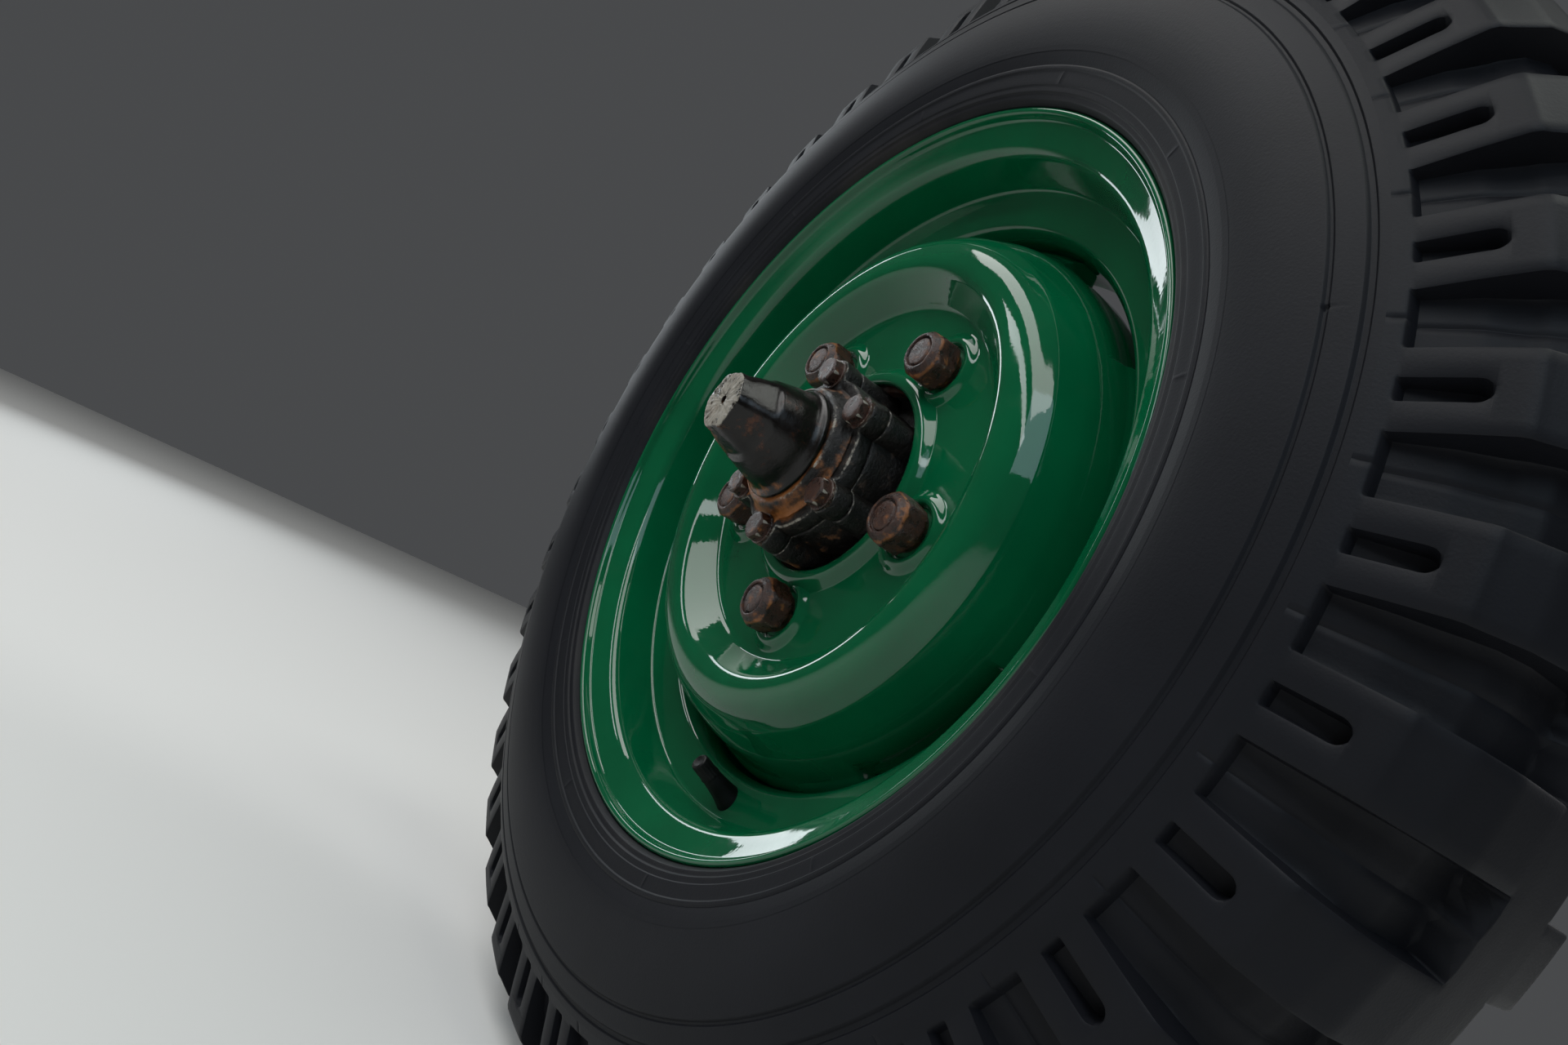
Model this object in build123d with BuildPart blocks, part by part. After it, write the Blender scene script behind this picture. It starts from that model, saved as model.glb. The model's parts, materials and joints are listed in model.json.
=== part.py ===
from build123d import *
import os
from math import atan2, cos, degrees, radians, sin, tan

os.makedirs("parts", exist_ok=True)

# Steel road wheel with its tyre, on the free-wheeling hub, brake drum and stub axle that carry it.
# Millimetres. The wheel turns about the Y axis and its outer face looks toward -Y, with +Z up.
# The origin is on the stub axle's mounting face, at the wheel's axis.
# Every profile is written as (radius, out), where "out" is the distance outboard of that face.

# Stack along the axle
WHEEL_SEAT_OUT = 72.0       # face of the drum on which the wheel disc sits
WHEEL_INSET = 41.5          # wheel seat to the rim's middle plane
HUB_END_OUT = 97.0          # outboard face of the hub, under the drive flange
DRIVE_FLANGE_THICK = 12.5
NOSE_TIP_OUT = 166.0

# Fits and running gaps
FIT_GAP = 0.2               # between curved faces that seat on each other
RUNNING_GAP = 0.3           # bearing ring to journal
BRAKE_GAP = 7.0             # drum to backplate

# Rim, a 127 mm wide drop-centre rim of 406 mm (16 inch) size
RIM_WIDTH = 127.0           # between the two flanges, where the tyre's beads sit
RIM_GAUGE = 4.0
BEAD_SEAT_R = 202.8
BEAD_SEAT_WIDTH = 34.0
BEAD_WIDTH = 22.0           # tyre's bead, from the flange to its toe
BEAD_SEAT_TAPER = 4.3       # fall of the bead seat's radius toward the well
FLANGE_HEIGHT = 18.2
FLANGE_CURL = 7.0           # axial reach of the flange's outward roll
FLANGE_BEND = 6.0
WELL_DEPTH = 18.3           # fall from the bead seat to the well, outside the metal
WELL_WALL_RUN = 8.0         # axial run of the wall between bead seat and well

# Wheel disc
DISC_GAUGE = 5.0
DISC_BORE_GAP = 1.1         # hub's lobes to the disc's bore
BORE_COLLAR_HEIGHT = 5.5    # the collar's slope is as long as it is high
FLAT_EDGE = 6.45            # nut bosses to the edge of the flat that seats on the drum
CREST_HEIGHT = 19.0
DISC_EDGE_WIDTH = 14.0      # cylindrical edge that is welded into the rim's well
CREST_START = 0.243         # crest's places, as shares of the way from the flat to the edge
CREST_END = 0.435
CREST_SLOPE_END = 0.627     # end of the first slope outside the crest
CREST_DROP = 11.0           # fall over that slope
EDGE_INSET = 6.0            # welded edge's bend, inboard of the rim well's wall
EDGE_BEND = 5.0
VENT_COUNT = 4              # flats pressed into the disc's edge, each a crescent gap to the rim
VENT_PHASE = 44.0
VENT_GAP = 13.0             # widest opening from a vent flat to the rim's well

# Wheel studs and nuts
STUD_COUNT = 5
STUD_PHASE = 55.5
STUD_R = 7.9
STUD_HOLE_GAP = 0.8         # stud to its hole in the wheel disc
STUD_INSET = 1.0            # stud's end below the nut's end
STUD_HEAD_R = 12.0
STUD_HEAD_THICK = 5.0
NUT_FLATS = 27.0
NUT_TO_COLLAR = 0.05        # a nut's flat to the foot of the bore's collar
NUT_LENGTH = 19.5
NUT_CHAMFER = 3.4           # height of the nut's rounded end, drawn as one bevel
NUT_CHAMFER_SLOPE = 38
NUT_BOSS_R = 21.0
NUT_BOSS_HEIGHT = 2.4
NUT_BOSS_SLOPE = 20

# Hub, drive flange and nose
HUB_BOLT_CIRCLE_R = 47.3
HUB_BOLT_COUNT = 6
HUB_BOLT_PHASE = 31.0
HUB_LOBE_R = 9.6
HUB_WAIST_INSET = 0.8       # waist between the lobes, inside the bolts' circle
HUB_FLANGE_EDGE = 15.45     # stud circle to the flange's edge
HUB_FLANGE_THICK = 10.0
HUB_BARREL_FLARE = 8.0
STUD_HEAD_ROOM = 4.55       # stud's head to the barrel's flare
HUB_TAIL_R = 50.0
HUB_TAIL_OUT = 21.0
HUB_BOLT_DEPTH = 22.0
HUB_LOBE_GAP = 1.0          # drum's bore to the hub's lobes
BOLT_SHANK_R = 4.8
BOLT_HEAD_FLATS = 14.3
BOLT_HEAD_THICK = 7.0
BOLT_REACH = 20.0           # bolt's length past the drive flange
COLLAR_TO_BOLT = 2.15       # collar's base to the flats of the bolt heads
COLLAR_TOP_R = 34.5
COLLAR_HEIGHT = 7.5
DRIVE_BORE_GAP = 3.0        # drive flange's bore to the outer journal
NOSE_RING_R = 32.5
NOSE_RING_THICK = 2.6
NOSE_R = 30.0
NOSE_TIP_R = 16.0
NOSE_CROWN = 3.2            # how far the nose's side swells past a straight taper
NOSE_HOLE_R = 1.8
NOSE_HOLE_DEPTH = 6.0
NOSE_FLAT_COUNT = 6
NOSE_FLAT_TIP_R = 14.3      # axis to flat at the tip
NOSE_FLAT_SLOPE = 26.0      # flat's lean from the axis, until it runs out of the nose's side

# Bearings and stub axle
JOURNAL_INNER_R = 29.0
JOURNAL_OUTER_R = 24.0
BEARING_INNER_R = 42.0
BEARING_OUTER_R = 36.0
BEARING_WIDTH = 18.0
BEARING_INNER_OUT = 26.0
BEARING_OUTER_OUT = 74.0
BEARING_SHOULDER = 6.0      # height of the hub's shoulder behind each bearing
SEAL_LAND_RISE = 4.0        # seal land's radius over the inner journal
SEAL_LAND_END = 5.0         # seal land's end before the inner bearing
STUB_THREAD_FALL = 2.0
STUB_END_OUT = 100.0
STUB_BORE_R = 17.0
STUB_FLANGE_R = 71.0
STUB_FLANGE_THICK = 12.0
STUB_BOLT_CIRCLE_R = 57.15
STUB_BOLT_COUNT = 6
STUB_BOLT_HOLE_R = 5.2
STUB_SPIGOT_R = 40.0
STUB_SPIGOT_HEIGHT = 5.0

# Brake drum and backplate
DRUM_R = 143.0
DRUM_WALL = 10.0
DRUM_FACE_THICK = 6.0
DRUM_DEPTH = 49.0
DRUM_RIB_R = 147.0
DRUM_RIB_WIDTH = 7.0
DRUM_BEVEL = 12.0
DRUM_ROOT = 8.0
BACKPLATE_GAUGE = 3.0
BACKPLATE_LIP_DEPTH = 13.0
BACKPLATE_SEAT_WIDTH = 14.0  # flat seat past the stub axle's flange
BACKPLATE_STEP = 6.0         # radial run of the step outside the seat
BACKPLATE_STEP_FALL = 1.0
BACKPLATE_BORE_GAP = 4.0
CYLINDER_BOSS_R = 14.0
CYLINDER_LENGTH = 52.0
CYLINDER_PLACE_R = 104.0
CYLINDER_THICK = 6.0
CYLINDER_PORT_OFFSET = 14.0
PIPE_NUT_FLATS = 17.0
PIPE_NUT_HEIGHT = 9.0
BLEEDER_R = 4.5
BLEEDER_HEIGHT = 13.0
ADJUSTER_FLATS = 15.0
ADJUSTER_HEIGHT = 9.0
ADJUSTER_COLLAR_R = 12.0
ADJUSTER_COLLAR_THICK = 3.0

# Tyre, 6.00-16 section, 730 mm over the tread
TYRE_R = 365.0
TREAD_DEPTH = 12.5
TYRE_BULGE = 10.0           # sidewall standing out past the rim's lip
LIP_SHOW = 1.0              # rim lip standing out past the tyre's bead
TREAD_WIDTH = 144.0         # across the tread's two outer corners
TREAD_CROWN = 19.5          # fall of the radius from mid-tread to those corners
TREAD_EASE = 12.0           # width of the bevel inboard of each corner
CARCASS_THICK = 10.0
LUG_COUNT = 38              # on each side
LUG_PHASE = 7.9
LUG_WIDTH = 30.0
LUG_LENGTH = 34.5           # radial length of a lug's leg on the sidewall
LUG_WALL = 4.0              # step down from the lugs' feet to the floor between them
LUG_DRAFT = 4.5             # fall of the sidewall from its widest place to the lugs' feet
LUG_SINK = 1.0              # how deep a lug's foot and its end at the rib are set in the carcass
CENTRE_RIB_WIDTH = 24.0

# Valve
VALVE_ANGLE = -87.5
VALVE_R = 6.0
VALVE_HEAD_R = 7.5
VALVE_HEAD_THICK = 3.0
VALVE_LENGTH = 36.0
VALVE_TAPER = 7.0
VALVE_CAP_R = 4.6
VALVE_CAP_LENGTH = 12.0

# Derived places
DISC_BORE_R = HUB_BOLT_CIRCLE_R + HUB_LOBE_R + DISC_BORE_GAP
STUD_CIRCLE_R = DISC_BORE_R + 2 * BORE_COLLAR_HEIGHT + NUT_FLATS / 2 + NUT_TO_COLLAR
FLAT_R = STUD_CIRCLE_R + NUT_BOSS_R + FLAT_EDGE
HUB_WAIST_R = HUB_BOLT_CIRCLE_R - HUB_WAIST_INSET
HUB_FLANGE_R = STUD_CIRCLE_R + HUB_FLANGE_EDGE
HUB_BARREL_R = STUD_CIRCLE_R - STUD_HEAD_R - STUD_HEAD_ROOM - HUB_BARREL_FLARE
COLLAR_BASE_R = HUB_BOLT_CIRCLE_R - BOLT_HEAD_FLATS / 2 - COLLAR_TO_BOLT
RIM_MID_OUT = WHEEL_SEAT_OUT - WHEEL_INSET
HALF_WIDTH = RIM_WIDTH / 2
WELL_R = BEAD_SEAT_R - WELL_DEPTH
LIP_WIDTH = HALF_WIDTH + FLANGE_CURL + RIM_GAUGE   # middle plane to the rim lip's outer edge
LIP_R = BEAD_SEAT_R + FLANGE_HEIGHT
DRIVE_FACE_OUT = HUB_END_OUT + DRIVE_FLANGE_THICK
NOSE_BASE_OUT = DRIVE_FACE_OUT + COLLAR_HEIGHT
DISC_FRONT_OUT = WHEEL_SEAT_OUT + DISC_GAUGE
BULGE_WIDTH = LIP_WIDTH + TYRE_BULGE               # middle plane to the sidewall's widest place
CORNER_R = TYRE_R - TREAD_CROWN
LUG_FOOT_R = CORNER_R - LUG_LENGTH
TREAD_BASE_R = TYRE_R - TREAD_DEPTH

# Section plane: local x is the radius, local y is "out"
SECTION = Plane(origin=(0, 0, 0), x_dir=(1, 0, 0), z_dir=(0, 0, -1))


def face_plane(out):
    """Plane square to the axle at a distance outboard, its normal pointing outboard."""
    return Plane.XZ.offset(out)


def sheet_sides(line, gauge):
    """The two sides of a sheet: its middle line moved half the gauge each way, with mitred corners."""
    steps = [(Vector(*b) - Vector(*a)).normalized() for a, b in zip(line, line[1:])]
    left, right = [], []
    for point, before, after in zip(line, steps[:1] + steps, steps + steps[-1:]):
        along = (before + after).normalized()
        reach = Vector(-along.Y, along.X) * (gauge / 2 / along.dot(after))
        left.append(Vector(*point) + reach)
        right.append(Vector(*point) - reach)
    return [(p.X, p.Y) for p in left], [(p.X, p.Y) for p in right]


def save(piece, name):
    """Label a finished piece and write it as its own file."""
    piece.part.label = name
    export_step(piece.part, f"parts/{name}.step")


# Rim: one rolled sheet, mirrored about its middle plane. Each flange bend is one bevel.
centre_r = BEAD_SEAT_R - RIM_GAUGE / 2
flange_out = HALF_WIDTH + RIM_GAUGE / 2
half_rim = [
    (LIP_R - RIM_GAUGE / 2, flange_out + FLANGE_CURL),
    (LIP_R - RIM_GAUGE / 2, flange_out + FLANGE_BEND / 2),
    (LIP_R - RIM_GAUGE / 2 - FLANGE_BEND / 2, flange_out),
    (centre_r + FLANGE_BEND / 2, flange_out),
    (centre_r, flange_out - FLANGE_BEND / 2),
    (centre_r - BEAD_SEAT_TAPER, HALF_WIDTH - BEAD_SEAT_WIDTH + RIM_GAUGE / 2),
    (WELL_R - RIM_GAUGE / 2, HALF_WIDTH - BEAD_SEAT_WIDTH - WELL_WALL_RUN),
]
rim_line = [(r, RIM_MID_OUT + w) for r, w in half_rim]
rim_line += [(r, RIM_MID_OUT - w) for r, w in reversed(half_rim)]
seat_end, well_start = half_rim[-2:]
valve_wall_r = (seat_end[0] + well_start[0]) / 2
valve_wall_out = RIM_MID_OUT + (seat_end[1] + well_start[1]) / 2
valve_lean = degrees(atan2(seat_end[1] - well_start[1], seat_end[0] - well_start[0]))
valve_dir = Vector(
    -sin(radians(valve_lean)) * cos(radians(VALVE_ANGLE)),
    -cos(radians(valve_lean)),
    -sin(radians(valve_lean)) * sin(radians(VALVE_ANGLE)),
)
valve_seat = Plane(
    origin=(
        valve_wall_r * cos(radians(VALVE_ANGLE)),
        -valve_wall_out,
        valve_wall_r * sin(radians(VALVE_ANGLE)),
    ),
    z_dir=valve_dir,
)

with BuildPart() as rim:
    with BuildSketch(SECTION):
        rim_face, rim_back = sheet_sides(rim_line, RIM_GAUGE)
        Polygon(*rim_face, *rim_back[::-1], align=None)
    revolve(axis=Axis.Y)
    with BuildSketch(valve_seat.offset(-2 * RIM_GAUGE)):
        Circle(VALVE_R)
    extrude(amount=4 * RIM_GAUGE, mode=Mode.SUBTRACT)
save(rim, "rim")


# Wheel disc: pressed sheet with a bore collar, a flat seat and a crest. Its edge is welded into
# the rim's well, except at the vents, where it is pressed flat along a chord.
mid = WHEEL_SEAT_OUT + DISC_GAUGE / 2
edge_r = WELL_R - RIM_GAUGE - FIT_GAP - DISC_GAUGE / 2
dish_width = edge_r - FLAT_R
vent_flat_r = WELL_R - RIM_GAUGE - VENT_GAP
edge_out = RIM_MID_OUT + HALF_WIDTH - BEAD_SEAT_WIDTH - WELL_WALL_RUN - EDGE_INSET
disc_back_out = edge_out - DISC_EDGE_WIDTH
disc_line = [
    (DISC_BORE_R, mid + BORE_COLLAR_HEIGHT),
    (DISC_BORE_R + BORE_COLLAR_HEIGHT, mid + BORE_COLLAR_HEIGHT),
    (DISC_BORE_R + 2 * BORE_COLLAR_HEIGHT, mid),
    (FLAT_R, mid),
    (FLAT_R + CREST_START * dish_width, mid + CREST_HEIGHT),
    (FLAT_R + CREST_END * dish_width, mid + CREST_HEIGHT),
    (FLAT_R + CREST_SLOPE_END * dish_width, mid + CREST_HEIGHT - CREST_DROP),
    (edge_r, edge_out + EDGE_BEND),
    (edge_r, disc_back_out),
]
disc_face, disc_back = sheet_sides(disc_line, DISC_GAUGE)
with BuildPart() as disc_form:
    with BuildSketch(SECTION):
        Polygon((0, disc_back_out), (0, disc_face[5][1]), *disc_face[5:], align=None)
    revolve(axis=Axis.Y)

with BuildPart() as wheel_disc:
    with BuildSketch(SECTION):
        Polygon(*disc_face, *disc_back[::-1], align=None)
    revolve(axis=Axis.Y)
    with BuildSketch(face_plane(WHEEL_SEAT_OUT)):
        with PolarLocations(STUD_CIRCLE_R, STUD_COUNT, start_angle=STUD_PHASE):
            Circle(NUT_BOSS_R)
    extrude(amount=DISC_GAUGE + NUT_BOSS_HEIGHT, taper=NUT_BOSS_SLOPE)
    with Locations(face_plane(WHEEL_SEAT_OUT + DISC_GAUGE + NUT_BOSS_HEIGHT)):
        with PolarLocations(STUD_CIRCLE_R, STUD_COUNT, start_angle=STUD_PHASE):
            Hole(STUD_R + STUD_HOLE_GAP)
    for index in range(VENT_COUNT):
        turn = radians(VENT_PHASE + index * 360 / VENT_COUNT)
        chord = Plane(origin=(0, 0, 0), z_dir=(cos(turn), 0, sin(turn)))
        with BuildSketch(chord.offset(vent_flat_r)):
            Rectangle(2 * edge_r, 2 * edge_r)
        extrude(amount=edge_r, mode=Mode.SUBTRACT)
        with BuildSketch(chord.offset(vent_flat_r - DISC_GAUGE)):
            Rectangle(2 * edge_r, 2 * edge_r)
        slab = extrude(amount=DISC_GAUGE, mode=Mode.PRIVATE)
        add(slab & disc_form.part)
save(wheel_disc, "wheel_disc")


# Tyre: a hollow carcass whose bead sits in the rim, with rows of shoulder lugs and a centre rib
corner_width = TREAD_WIDTH / 2
half_tyre = [
    (BEAD_SEAT_R + FIT_GAP, HALF_WIDTH - BEAD_WIDTH),
    (BEAD_SEAT_R + FIT_GAP, HALF_WIDTH - FLANGE_BEND),
    (BEAD_SEAT_R + FLANGE_BEND, HALF_WIDTH - FIT_GAP),
    (LIP_R + FIT_GAP, HALF_WIDTH - FIT_GAP),
    (LIP_R + FIT_GAP, LIP_WIDTH - LIP_SHOW),
    (LIP_R + 2 * TYRE_BULGE, BULGE_WIDTH - TYRE_BULGE / 2),
    ((LIP_R + LUG_FOOT_R) / 2, BULGE_WIDTH),
    (LUG_FOOT_R, BULGE_WIDTH - LUG_DRAFT),
    (LUG_FOOT_R + LUG_SINK, BULGE_WIDTH - LUG_DRAFT - LUG_WALL),
    (TREAD_BASE_R - TREAD_CROWN / 2, corner_width - TREAD_DEPTH),
    (TREAD_BASE_R, CENTRE_RIB_WIDTH / 2),
]
half_cavity = [
    (TREAD_BASE_R - CARCASS_THICK, CENTRE_RIB_WIDTH / 2),
    (LUG_FOOT_R, BULGE_WIDTH - LUG_DRAFT - CARCASS_THICK),
]
tyre_outline = [(r, RIM_MID_OUT + w) for r, w in half_tyre]
tyre_outline += [(r, RIM_MID_OUT - w) for r, w in reversed(half_tyre)]
tyre_outline += [(r, RIM_MID_OUT - w) for r, w in reversed(half_cavity)]
tyre_outline += [(r, RIM_MID_OUT + w) for r, w in half_cavity]
foot_width = BULGE_WIDTH - LUG_DRAFT
rib_edge = CENTRE_RIB_WIDTH / 2 - LUG_SINK
lug_outline = [
    (LUG_FOOT_R - CARCASS_THICK, foot_width - CARCASS_THICK / 2),
    (LUG_FOOT_R - CARCASS_THICK, foot_width - LUG_SINK + LUG_DRAFT / 4),
    (CORNER_R, corner_width),
    (TYRE_R - TREAD_CROWN / 3, corner_width - TREAD_EASE - LUG_DRAFT),
    (TYRE_R - LUG_SINK / 2, rib_edge),
    (TREAD_BASE_R - LUG_SINK, rib_edge),
    (TREAD_BASE_R - TREAD_CROWN / 2 - LUG_SINK, corner_width - TREAD_DEPTH - LUG_SINK),
]
with BuildPart() as lug:
    with BuildSketch(SECTION):
        Polygon(*lug_outline, align=None)
    extrude(amount=LUG_WIDTH / 2, both=True)
lug_row = lug.part.moved(Location((0, -RIM_MID_OUT, 0)))
lug_turned = lug.part.rotate(Axis.X, 180).moved(Location((0, -RIM_MID_OUT, 0)))
pitch = 360 / LUG_COUNT

with BuildPart() as tyre:
    with BuildSketch(SECTION):
        Polygon(*tyre_outline, align=None)
        with Locations(((TYRE_R + TREAD_BASE_R) / 2, RIM_MID_OUT)):
            Rectangle(TREAD_DEPTH, CENTRE_RIB_WIDTH)
    revolve(axis=Axis.Y)
    add([lug_row.rotate(Axis.Y, -(LUG_PHASE + i * pitch)) for i in range(LUG_COUNT)])
    add([lug_turned.rotate(Axis.Y, -(LUG_PHASE + (i + 0.5) * pitch)) for i in range(LUG_COUNT)])
save(tyre, "tyre")


# Hub: barrel on the bearings, stud flange, and a lobed end that passes through the wheel disc
hub_flange_out = WHEEL_SEAT_OUT - DRUM_FACE_THICK
with BuildPart() as hub:
    with BuildSketch(SECTION):
        Polygon(
            (BEARING_INNER_R + FIT_GAP, HUB_TAIL_OUT),
            (HUB_TAIL_R, HUB_TAIL_OUT),
            (HUB_BARREL_R, hub_flange_out - HUB_FLANGE_THICK - HUB_BARREL_FLARE),
            (HUB_BARREL_R + HUB_BARREL_FLARE, hub_flange_out - HUB_FLANGE_THICK),
            (HUB_FLANGE_R, hub_flange_out - HUB_FLANGE_THICK),
            (HUB_FLANGE_R, hub_flange_out),
            (HUB_WAIST_R, hub_flange_out),
            (HUB_WAIST_R, HUB_END_OUT),
            (BEARING_OUTER_R + FIT_GAP, HUB_END_OUT),
            (BEARING_OUTER_R + FIT_GAP, BEARING_OUTER_OUT),
            (BEARING_OUTER_R - BEARING_SHOULDER, BEARING_OUTER_OUT),
            (BEARING_INNER_R - BEARING_SHOULDER, BEARING_INNER_OUT + BEARING_WIDTH),
            (BEARING_INNER_R + FIT_GAP, BEARING_INNER_OUT + BEARING_WIDTH),
            align=None,
        )
    revolve(axis=Axis.Y)
    with BuildSketch(face_plane(hub_flange_out)):
        with PolarLocations(HUB_BOLT_CIRCLE_R, HUB_BOLT_COUNT, start_angle=HUB_BOLT_PHASE):
            Circle(HUB_LOBE_R)
            with Locations((-HUB_LOBE_R, 0)):
                Rectangle(HUB_LOBE_R * 2, HUB_LOBE_R * 2)
        Circle(BEARING_OUTER_R + FIT_GAP, mode=Mode.SUBTRACT)
    extrude(amount=HUB_END_OUT - hub_flange_out)
    with Locations(face_plane(hub_flange_out)):
        with PolarLocations(STUD_CIRCLE_R, STUD_COUNT, start_angle=STUD_PHASE):
            Hole(STUD_R + FIT_GAP)
    with Locations(face_plane(HUB_END_OUT)):
        with PolarLocations(HUB_BOLT_CIRCLE_R, HUB_BOLT_COUNT, start_angle=HUB_BOLT_PHASE):
            Hole(BOLT_SHANK_R + FIT_GAP, depth=HUB_BOLT_DEPTH)
save(hub, "hub")


# Brake drum: seat face, braking ring and a stiffening rib at its open end
drum_open_out = WHEEL_SEAT_OUT - DRUM_DEPTH
drum_bore_r = HUB_BOLT_CIRCLE_R + HUB_LOBE_R + HUB_LOBE_GAP
with BuildPart() as brake_drum:
    with BuildSketch(SECTION):
        Polygon(
            (drum_bore_r, WHEEL_SEAT_OUT),
            (DRUM_R - DRUM_BEVEL, WHEEL_SEAT_OUT),
            (DRUM_R, WHEEL_SEAT_OUT - DRUM_BEVEL),
            (DRUM_R, drum_open_out + DRUM_RIB_WIDTH),
            (DRUM_RIB_R, drum_open_out + DRUM_RIB_WIDTH),
            (DRUM_RIB_R, drum_open_out),
            (DRUM_R - DRUM_WALL, drum_open_out),
            (DRUM_R - DRUM_WALL, hub_flange_out - DRUM_ROOT),
            (DRUM_R - DRUM_WALL - DRUM_ROOT, hub_flange_out),
            (drum_bore_r, hub_flange_out),
            align=None,
        )
    revolve(axis=Axis.Y)
    with Locations(face_plane(WHEEL_SEAT_OUT)):
        with PolarLocations(STUD_CIRCLE_R, STUD_COUNT, start_angle=STUD_PHASE):
            Hole(STUD_R + FIT_GAP)
save(brake_drum, "brake_drum")


# Wheel studs and their nuts, one of each at every hole
nut_seat_out = DISC_FRONT_OUT + NUT_BOSS_HEIGHT
nut_end_out = nut_seat_out + NUT_LENGTH
stud_back_out = hub_flange_out - HUB_FLANGE_THICK
for index in range(STUD_COUNT):
    angle = radians(STUD_PHASE + index * 360 / STUD_COUNT)
    place = (STUD_CIRCLE_R * cos(angle), STUD_CIRCLE_R * sin(angle))
    with BuildPart() as stud:
        with BuildSketch(face_plane(stud_back_out - STUD_HEAD_THICK)):
            with Locations(place):
                Circle(STUD_HEAD_R)
        extrude(amount=STUD_HEAD_THICK)
        with BuildSketch(face_plane(stud_back_out)):
            with Locations(place):
                Circle(STUD_R)
        extrude(amount=nut_end_out - STUD_INSET - stud_back_out)
    save(stud, f"wheel_stud_{index + 1}")

    with BuildPart() as nut:
        with BuildSketch(face_plane(nut_seat_out)):
            with Locations(place):
                RegularPolygon(NUT_FLATS / 2, 6, major_radius=False)
        extrude(amount=NUT_LENGTH - NUT_CHAMFER)
        with BuildSketch(face_plane(nut_end_out - NUT_CHAMFER)):
            with Locations(place):
                RegularPolygon(NUT_FLATS / 2, 6, major_radius=False)
        extrude(amount=NUT_CHAMFER, taper=NUT_CHAMFER_SLOPE)
        with Locations(face_plane(nut_seat_out)):
            with Locations(place):
                Hole(STUD_R + FIT_GAP)
    save(nut, f"wheel_nut_{index + 1}")


# Drive flange: lobed like the hub's end, with a tapered collar round the nose
collar_slope = degrees(atan2(COLLAR_BASE_R - COLLAR_TOP_R, COLLAR_HEIGHT))
with BuildPart() as drive_flange:
    with BuildSketch(face_plane(HUB_END_OUT)):
        Circle(HUB_WAIST_R)
        with PolarLocations(HUB_BOLT_CIRCLE_R, HUB_BOLT_COUNT, start_angle=HUB_BOLT_PHASE):
            Circle(HUB_LOBE_R)
            with Locations((-HUB_LOBE_R, 0)):
                Rectangle(HUB_LOBE_R * 2, HUB_LOBE_R * 2)
    extrude(amount=DRIVE_FLANGE_THICK)
    with BuildSketch(face_plane(DRIVE_FACE_OUT)):
        Circle(COLLAR_BASE_R)
    extrude(amount=COLLAR_HEIGHT, taper=collar_slope)
    with BuildSketch(face_plane(HUB_END_OUT)):
        Circle(JOURNAL_OUTER_R + DRIVE_BORE_GAP)
    extrude(amount=DRIVE_FLANGE_THICK, mode=Mode.SUBTRACT)
    with Locations(face_plane(DRIVE_FACE_OUT)):
        with PolarLocations(HUB_BOLT_CIRCLE_R, HUB_BOLT_COUNT, start_angle=HUB_BOLT_PHASE):
            Hole(BOLT_SHANK_R + FIT_GAP, depth=DRIVE_FLANGE_THICK)
save(drive_flange, "drive_flange")

for index in range(HUB_BOLT_COUNT):
    angle = radians(HUB_BOLT_PHASE + index * 360 / HUB_BOLT_COUNT)
    place = (HUB_BOLT_CIRCLE_R * cos(angle), HUB_BOLT_CIRCLE_R * sin(angle))
    with BuildPart() as bolt:
        with BuildSketch(face_plane(DRIVE_FACE_OUT)):
            with Locations(place):
                RegularPolygon(BOLT_HEAD_FLATS / 2, 6, major_radius=False)
        extrude(amount=BOLT_HEAD_THICK)
        with BuildSketch(face_plane(DRIVE_FACE_OUT)):
            with Locations(place):
                Circle(BOLT_SHANK_R)
        extrude(amount=-(DRIVE_FLANGE_THICK + BOLT_REACH))
    save(bolt, f"drive_bolt_{index + 1}")


# Nose ring and nose: a tapered cap with wrench flats at its tip
with BuildPart() as nose_ring:
    with BuildSketch(face_plane(NOSE_BASE_OUT)):
        Circle(NOSE_RING_R)
    extrude(amount=NOSE_RING_THICK)
save(nose_ring, "nose_ring")

nose_start = NOSE_BASE_OUT + NOSE_RING_THICK
flat_run = (NOSE_R - NOSE_FLAT_TIP_R) / tan(radians(NOSE_FLAT_SLOPE))
with BuildPart() as hub_nose:
    with BuildSketch(SECTION):
        with BuildLine():
            Polyline((0, NOSE_TIP_OUT), (0, nose_start), (NOSE_R, nose_start))
            ThreePointArc(
                (NOSE_R, nose_start),
                ((NOSE_R + NOSE_TIP_R) / 2 + NOSE_CROWN, (nose_start + NOSE_TIP_OUT) / 2),
                (NOSE_TIP_R, NOSE_TIP_OUT),
            )
            Line((NOSE_TIP_R, NOSE_TIP_OUT), (0, NOSE_TIP_OUT))
        make_face()
    revolve(axis=Axis.Y)
    with BuildSketch(SECTION):
        Polygon(
            (NOSE_R, NOSE_TIP_OUT - flat_run),
            (NOSE_R, NOSE_TIP_OUT),
            (NOSE_FLAT_TIP_R, NOSE_TIP_OUT),
            align=None,
        )
    flat_cut = extrude(amount=NOSE_R, both=True, mode=Mode.PRIVATE)
    for index in range(NOSE_FLAT_COUNT):
        turn = -(HUB_BOLT_PHASE + index * 360 / NOSE_FLAT_COUNT)
        add(flat_cut.rotate(Axis.Y, turn), mode=Mode.SUBTRACT)
    with Locations(face_plane(NOSE_TIP_OUT)):
        Hole(NOSE_HOLE_R, depth=NOSE_HOLE_DEPTH)
save(hub_nose, "hub_nose")


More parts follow.
